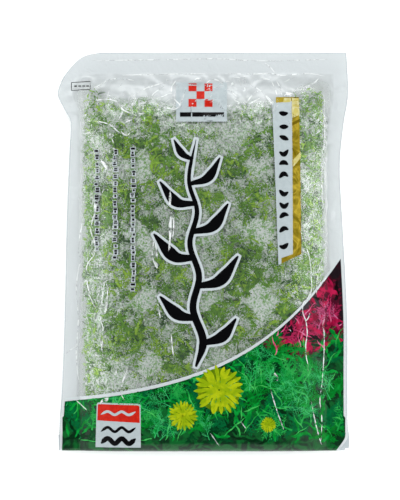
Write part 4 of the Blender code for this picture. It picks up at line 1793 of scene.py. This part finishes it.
    def columns(self, halo: SheetMesh, body: SheetMesh) -> None:
        """Adds three columns of plain dots and dashes.

        Args:
            halo: The pale mesh.
            body: The black mesh.
        """
        rng = random.Random(3)
        edge = self.dot_edge
        for column, row, last in self.dot_columns:
            while row < last:
                tall, wide = rng.choice(self.dot_heights), rng.uniform(0.8, 1.7)
                x, top = spot(column + rng.uniform(-0.8, 0.8), row)
                line = np.array([[x, top], [x, top - tall * PHOTO_MM * 0.5], [x, top - tall * PHOTO_MM]])
                halo.ribbon(line + [[0, edge], [0, 0], [0, -edge]], np.full(3, wide + edge), 0.05, 1)
                for first, second in ((0, 1), (1, 2)) if tall > 3 else ((0, 2),):
                    stroke = np.linspace(line[first], line[second] + [0, edge], 3)
                    body.ribbon(stroke, np.full(3, wide * rng.uniform(0.5, 1.0)), self.brush_lift, 1)
                row += tall + rng.choice(self.dot_gaps)

    def small_print(self, body: SheetMesh) -> None:
        """Adds the pale strip with its gold side and the highlights and fold shade painted on it, the plain
        check with its bar, and the label.

        Args:
            body: The black mesh.
        """
        sheets = {tint: SheetMesh(settle=on_film) for tint, _ in self.inks}
        sheets[Tint.BLACK] = body
        self.marks(body)
        for panel in (*self.check(), *self.panels):
            panel.add(sheets[panel.tint])
        for tint, row, rise, half in self.waves:
            columns = (self.wave_column + self.wave_spacing * k for k in range(6))
            wave = traced([(column, row + rise * (-1) ** k) for k, column in enumerate(columns)], 0.8)
            steps = np.arange(len(wave))
            ends = np.minimum(1.0, np.minimum(steps, steps[::-1]) / 4 + 0.2)
            sheets[tint].ribbon(wave, half * ends, 0.23)
        for tint, finish in self.inks:
            sheets[tint].obj(tint.value, finish.material())

    def marks(self, body: SheetMesh) -> None:
        """Adds the strip's plain brush marks, one under another.

        Args:
            body: The black mesh.
        """
        rng = random.Random(5)
        for k in range(self.mark_count):
            column = self.mark_column + 0.25 * math.sin(k)
            row = self.mark_first_row + self.mark_spacing * k
            line = traced([
                (column - self.mark_reach, row + rng.uniform(-2, 2)), (column, row + rng.uniform(-4, 4)),
                (column + self.mark_reach, row + rng.uniform(-2, 2))], 0.6)
            run = np.linspace(0, 1, len(line))
            body.ribbon(line, 1.7 * np.sin(np.pi * (0.06 + 0.9 * run)) ** 0.8, 0.13)

    def check(self) -> list[Panel]:
        """The red squares of the plain check, five out of nine."""
        panels, side = [], self.check_side
        for i, j in ((i, j) for i in range(3) for j in range(3) if (i + j) % 2 == 0):
            x, y = self.check_corner[0] + side * i, self.check_corner[1] - side * j
            panels.append(Panel(Tint.RED, ((x, y), (x + side, y), (x + side, y - side), (x, y - side)), 0.11))
        return panels

    def tear_mark(self, body: SheetMesh) -> None:
        """Adds the small outlined box with a row of dashes, where the pouch is torn open.

        Args:
            body: The black mesh.
        """
        corners = [spot(*place) for place in self.tear_box]
        for a, b in zip(corners, corners[1:]):
            body.ribbon(np.linspace(a, b, 6), np.full(6, 0.22), 0.08, 1)
        for k in range(4):
            x, y = spot(self.tear_dash[0] + self.tear_spacing * k, self.tear_dash[1])
            body.ribbon(np.array([[x, y], [x + 1, y], [x + 1.9, y]]), np.full(3, 0.4), 0.08, 1)


@dataclass
class Studio:
    """The floor, the lights and the camera, in metres."""

    floor_size: float = 3.0
    floor_drop: float = 0.0006
    floor_glow: float = 0.16
    tent_colour: Colour = (0.96, 0.99, 1.0)
    tent_strength: float = 2.2
    port_strength: float = 0.1
    port: Place = (0.70, 0.90)
    lights: Sequence[tuple[str, tuple[float, float, float], Place, float]] = (
        ("left_strip", (-1.1, 0.35, 0.9), (0.2, 1.4), 3.0),
        ("right_strip", (1.2, 0.1, 0.8), (0.16, 1.3), 4.0),
        ("top_box", (0.1, 1.25, 0.8), (1.3, 0.2), 5.0),
    )
    picture_middle: Place = (200.0, 250.0)
    distance: float = 1.7
    pouch_height: float = 0.012
    half_height: float = 0.175
    sensor_height: float = 24.0

    def floor(self) -> None:
        """Lays a plain white floor."""
        g = Graph("floor_white")
        bm = bmesh.new()
        bmesh.ops.create_grid(bm, x_segments=1, y_segments=1, size=self.floor_size)
        mesh = bpy.data.meshes.new("floor")
        bm.to_mesh(mesh)
        bm.free()
        mesh.materials.append(g.finish(g.principled(
            Base_Color=(0.9, 0.9, 0.9), Roughness=0.9, Emission_Color=(1.0, 1.0, 1.0),
            Emission_Strength=self.floor_glow)))
        made = bpy.data.objects.new("floor", mesh)
        made.location.z = -self.floor_drop
        bpy.context.scene.collection.objects.link(made)

    def light(self, name: str, place: Vector, size: Place, watts: float) -> None:
        """Hangs one soft light, turned to the pouch.

        Args:
            name: Its name.
            place: Where it hangs.
            size: Its width and height.
            watts: Its power.
        """
        data = bpy.data.lights.new(name, "AREA")
        data.shape, data.size, data.size_y, data.energy = "RECTANGLE", *size, watts
        lamp = bpy.data.objects.new(name, data)
        lamp.location = place
        lamp.rotation_euler = (-place).to_track_quat("-Z", "Y").to_euler()
        bpy.context.scene.collection.objects.link(lamp)

    def tent(self) -> None:
        """Surrounds the pouch with a bright tent that has a dark port straight above, for the camera."""
        g = Graph("light_tent", world=True)
        direction = g.out(g.node("TexCoord", {}, {}), "Generated")
        height = g.out(g.node("SeparateXYZ", {}, {0: direction}), "Z")
        tent, port = (
            g.out(g.node("Background", {}, {"Color": (*self.tent_colour, 1.0), "Strength": strength}))
            for strength in (self.tent_strength, self.port_strength))
        g.node("OutputWorld", {}, {"Surface": g.blend(g.step(height, *self.port), tent, port)})
        bpy.context.scene.world = g.block

    def camera(self) -> None:
        """Hangs the camera straight above the place that the middle of the picture shows."""
        data = bpy.data.cameras.new("camera")
        data.sensor_fit, data.sensor_height = "VERTICAL", self.sensor_height
        data.lens = self.sensor_height / 2 * self.distance / self.half_height
        camera = bpy.data.objects.new("camera", data)
        x, y = spot(*self.picture_middle)
        camera.location = (x * MM, y * MM, self.distance + self.pouch_height)
        bpy.context.scene.collection.objects.link(camera)
        bpy.context.scene.camera = camera

    def build(self) -> None:
        """Sets the scene."""
        self.floor()
        self.tent()
        for name, place, size, watts in self.lights:
            self.light(name, Vector(place), size, watts)
        self.camera()
        bpy.context.scene.view_settings.view_transform = "Standard"


def main() -> None:
    """Builds the pouch's looks and the studio."""
    logging.basicConfig(level=logging.INFO, format="%(message)s")
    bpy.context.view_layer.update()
    Studio().build()
    Films().build()
    green, salt = SeaweedFinish().material(), SaltFinish().material("salt_grains")
    for number in range(1, BUNCHES + 1):
        Tuft(number).build(green, salt)
    for number in range(1, CAKES + 1):
        SaltCake(number).build(salt)
    LooseBits().build(green, salt)
    Creases().build()
    BandPrint().build()
    BrushPrint().build()


if __name__ == "__main__":
    main()
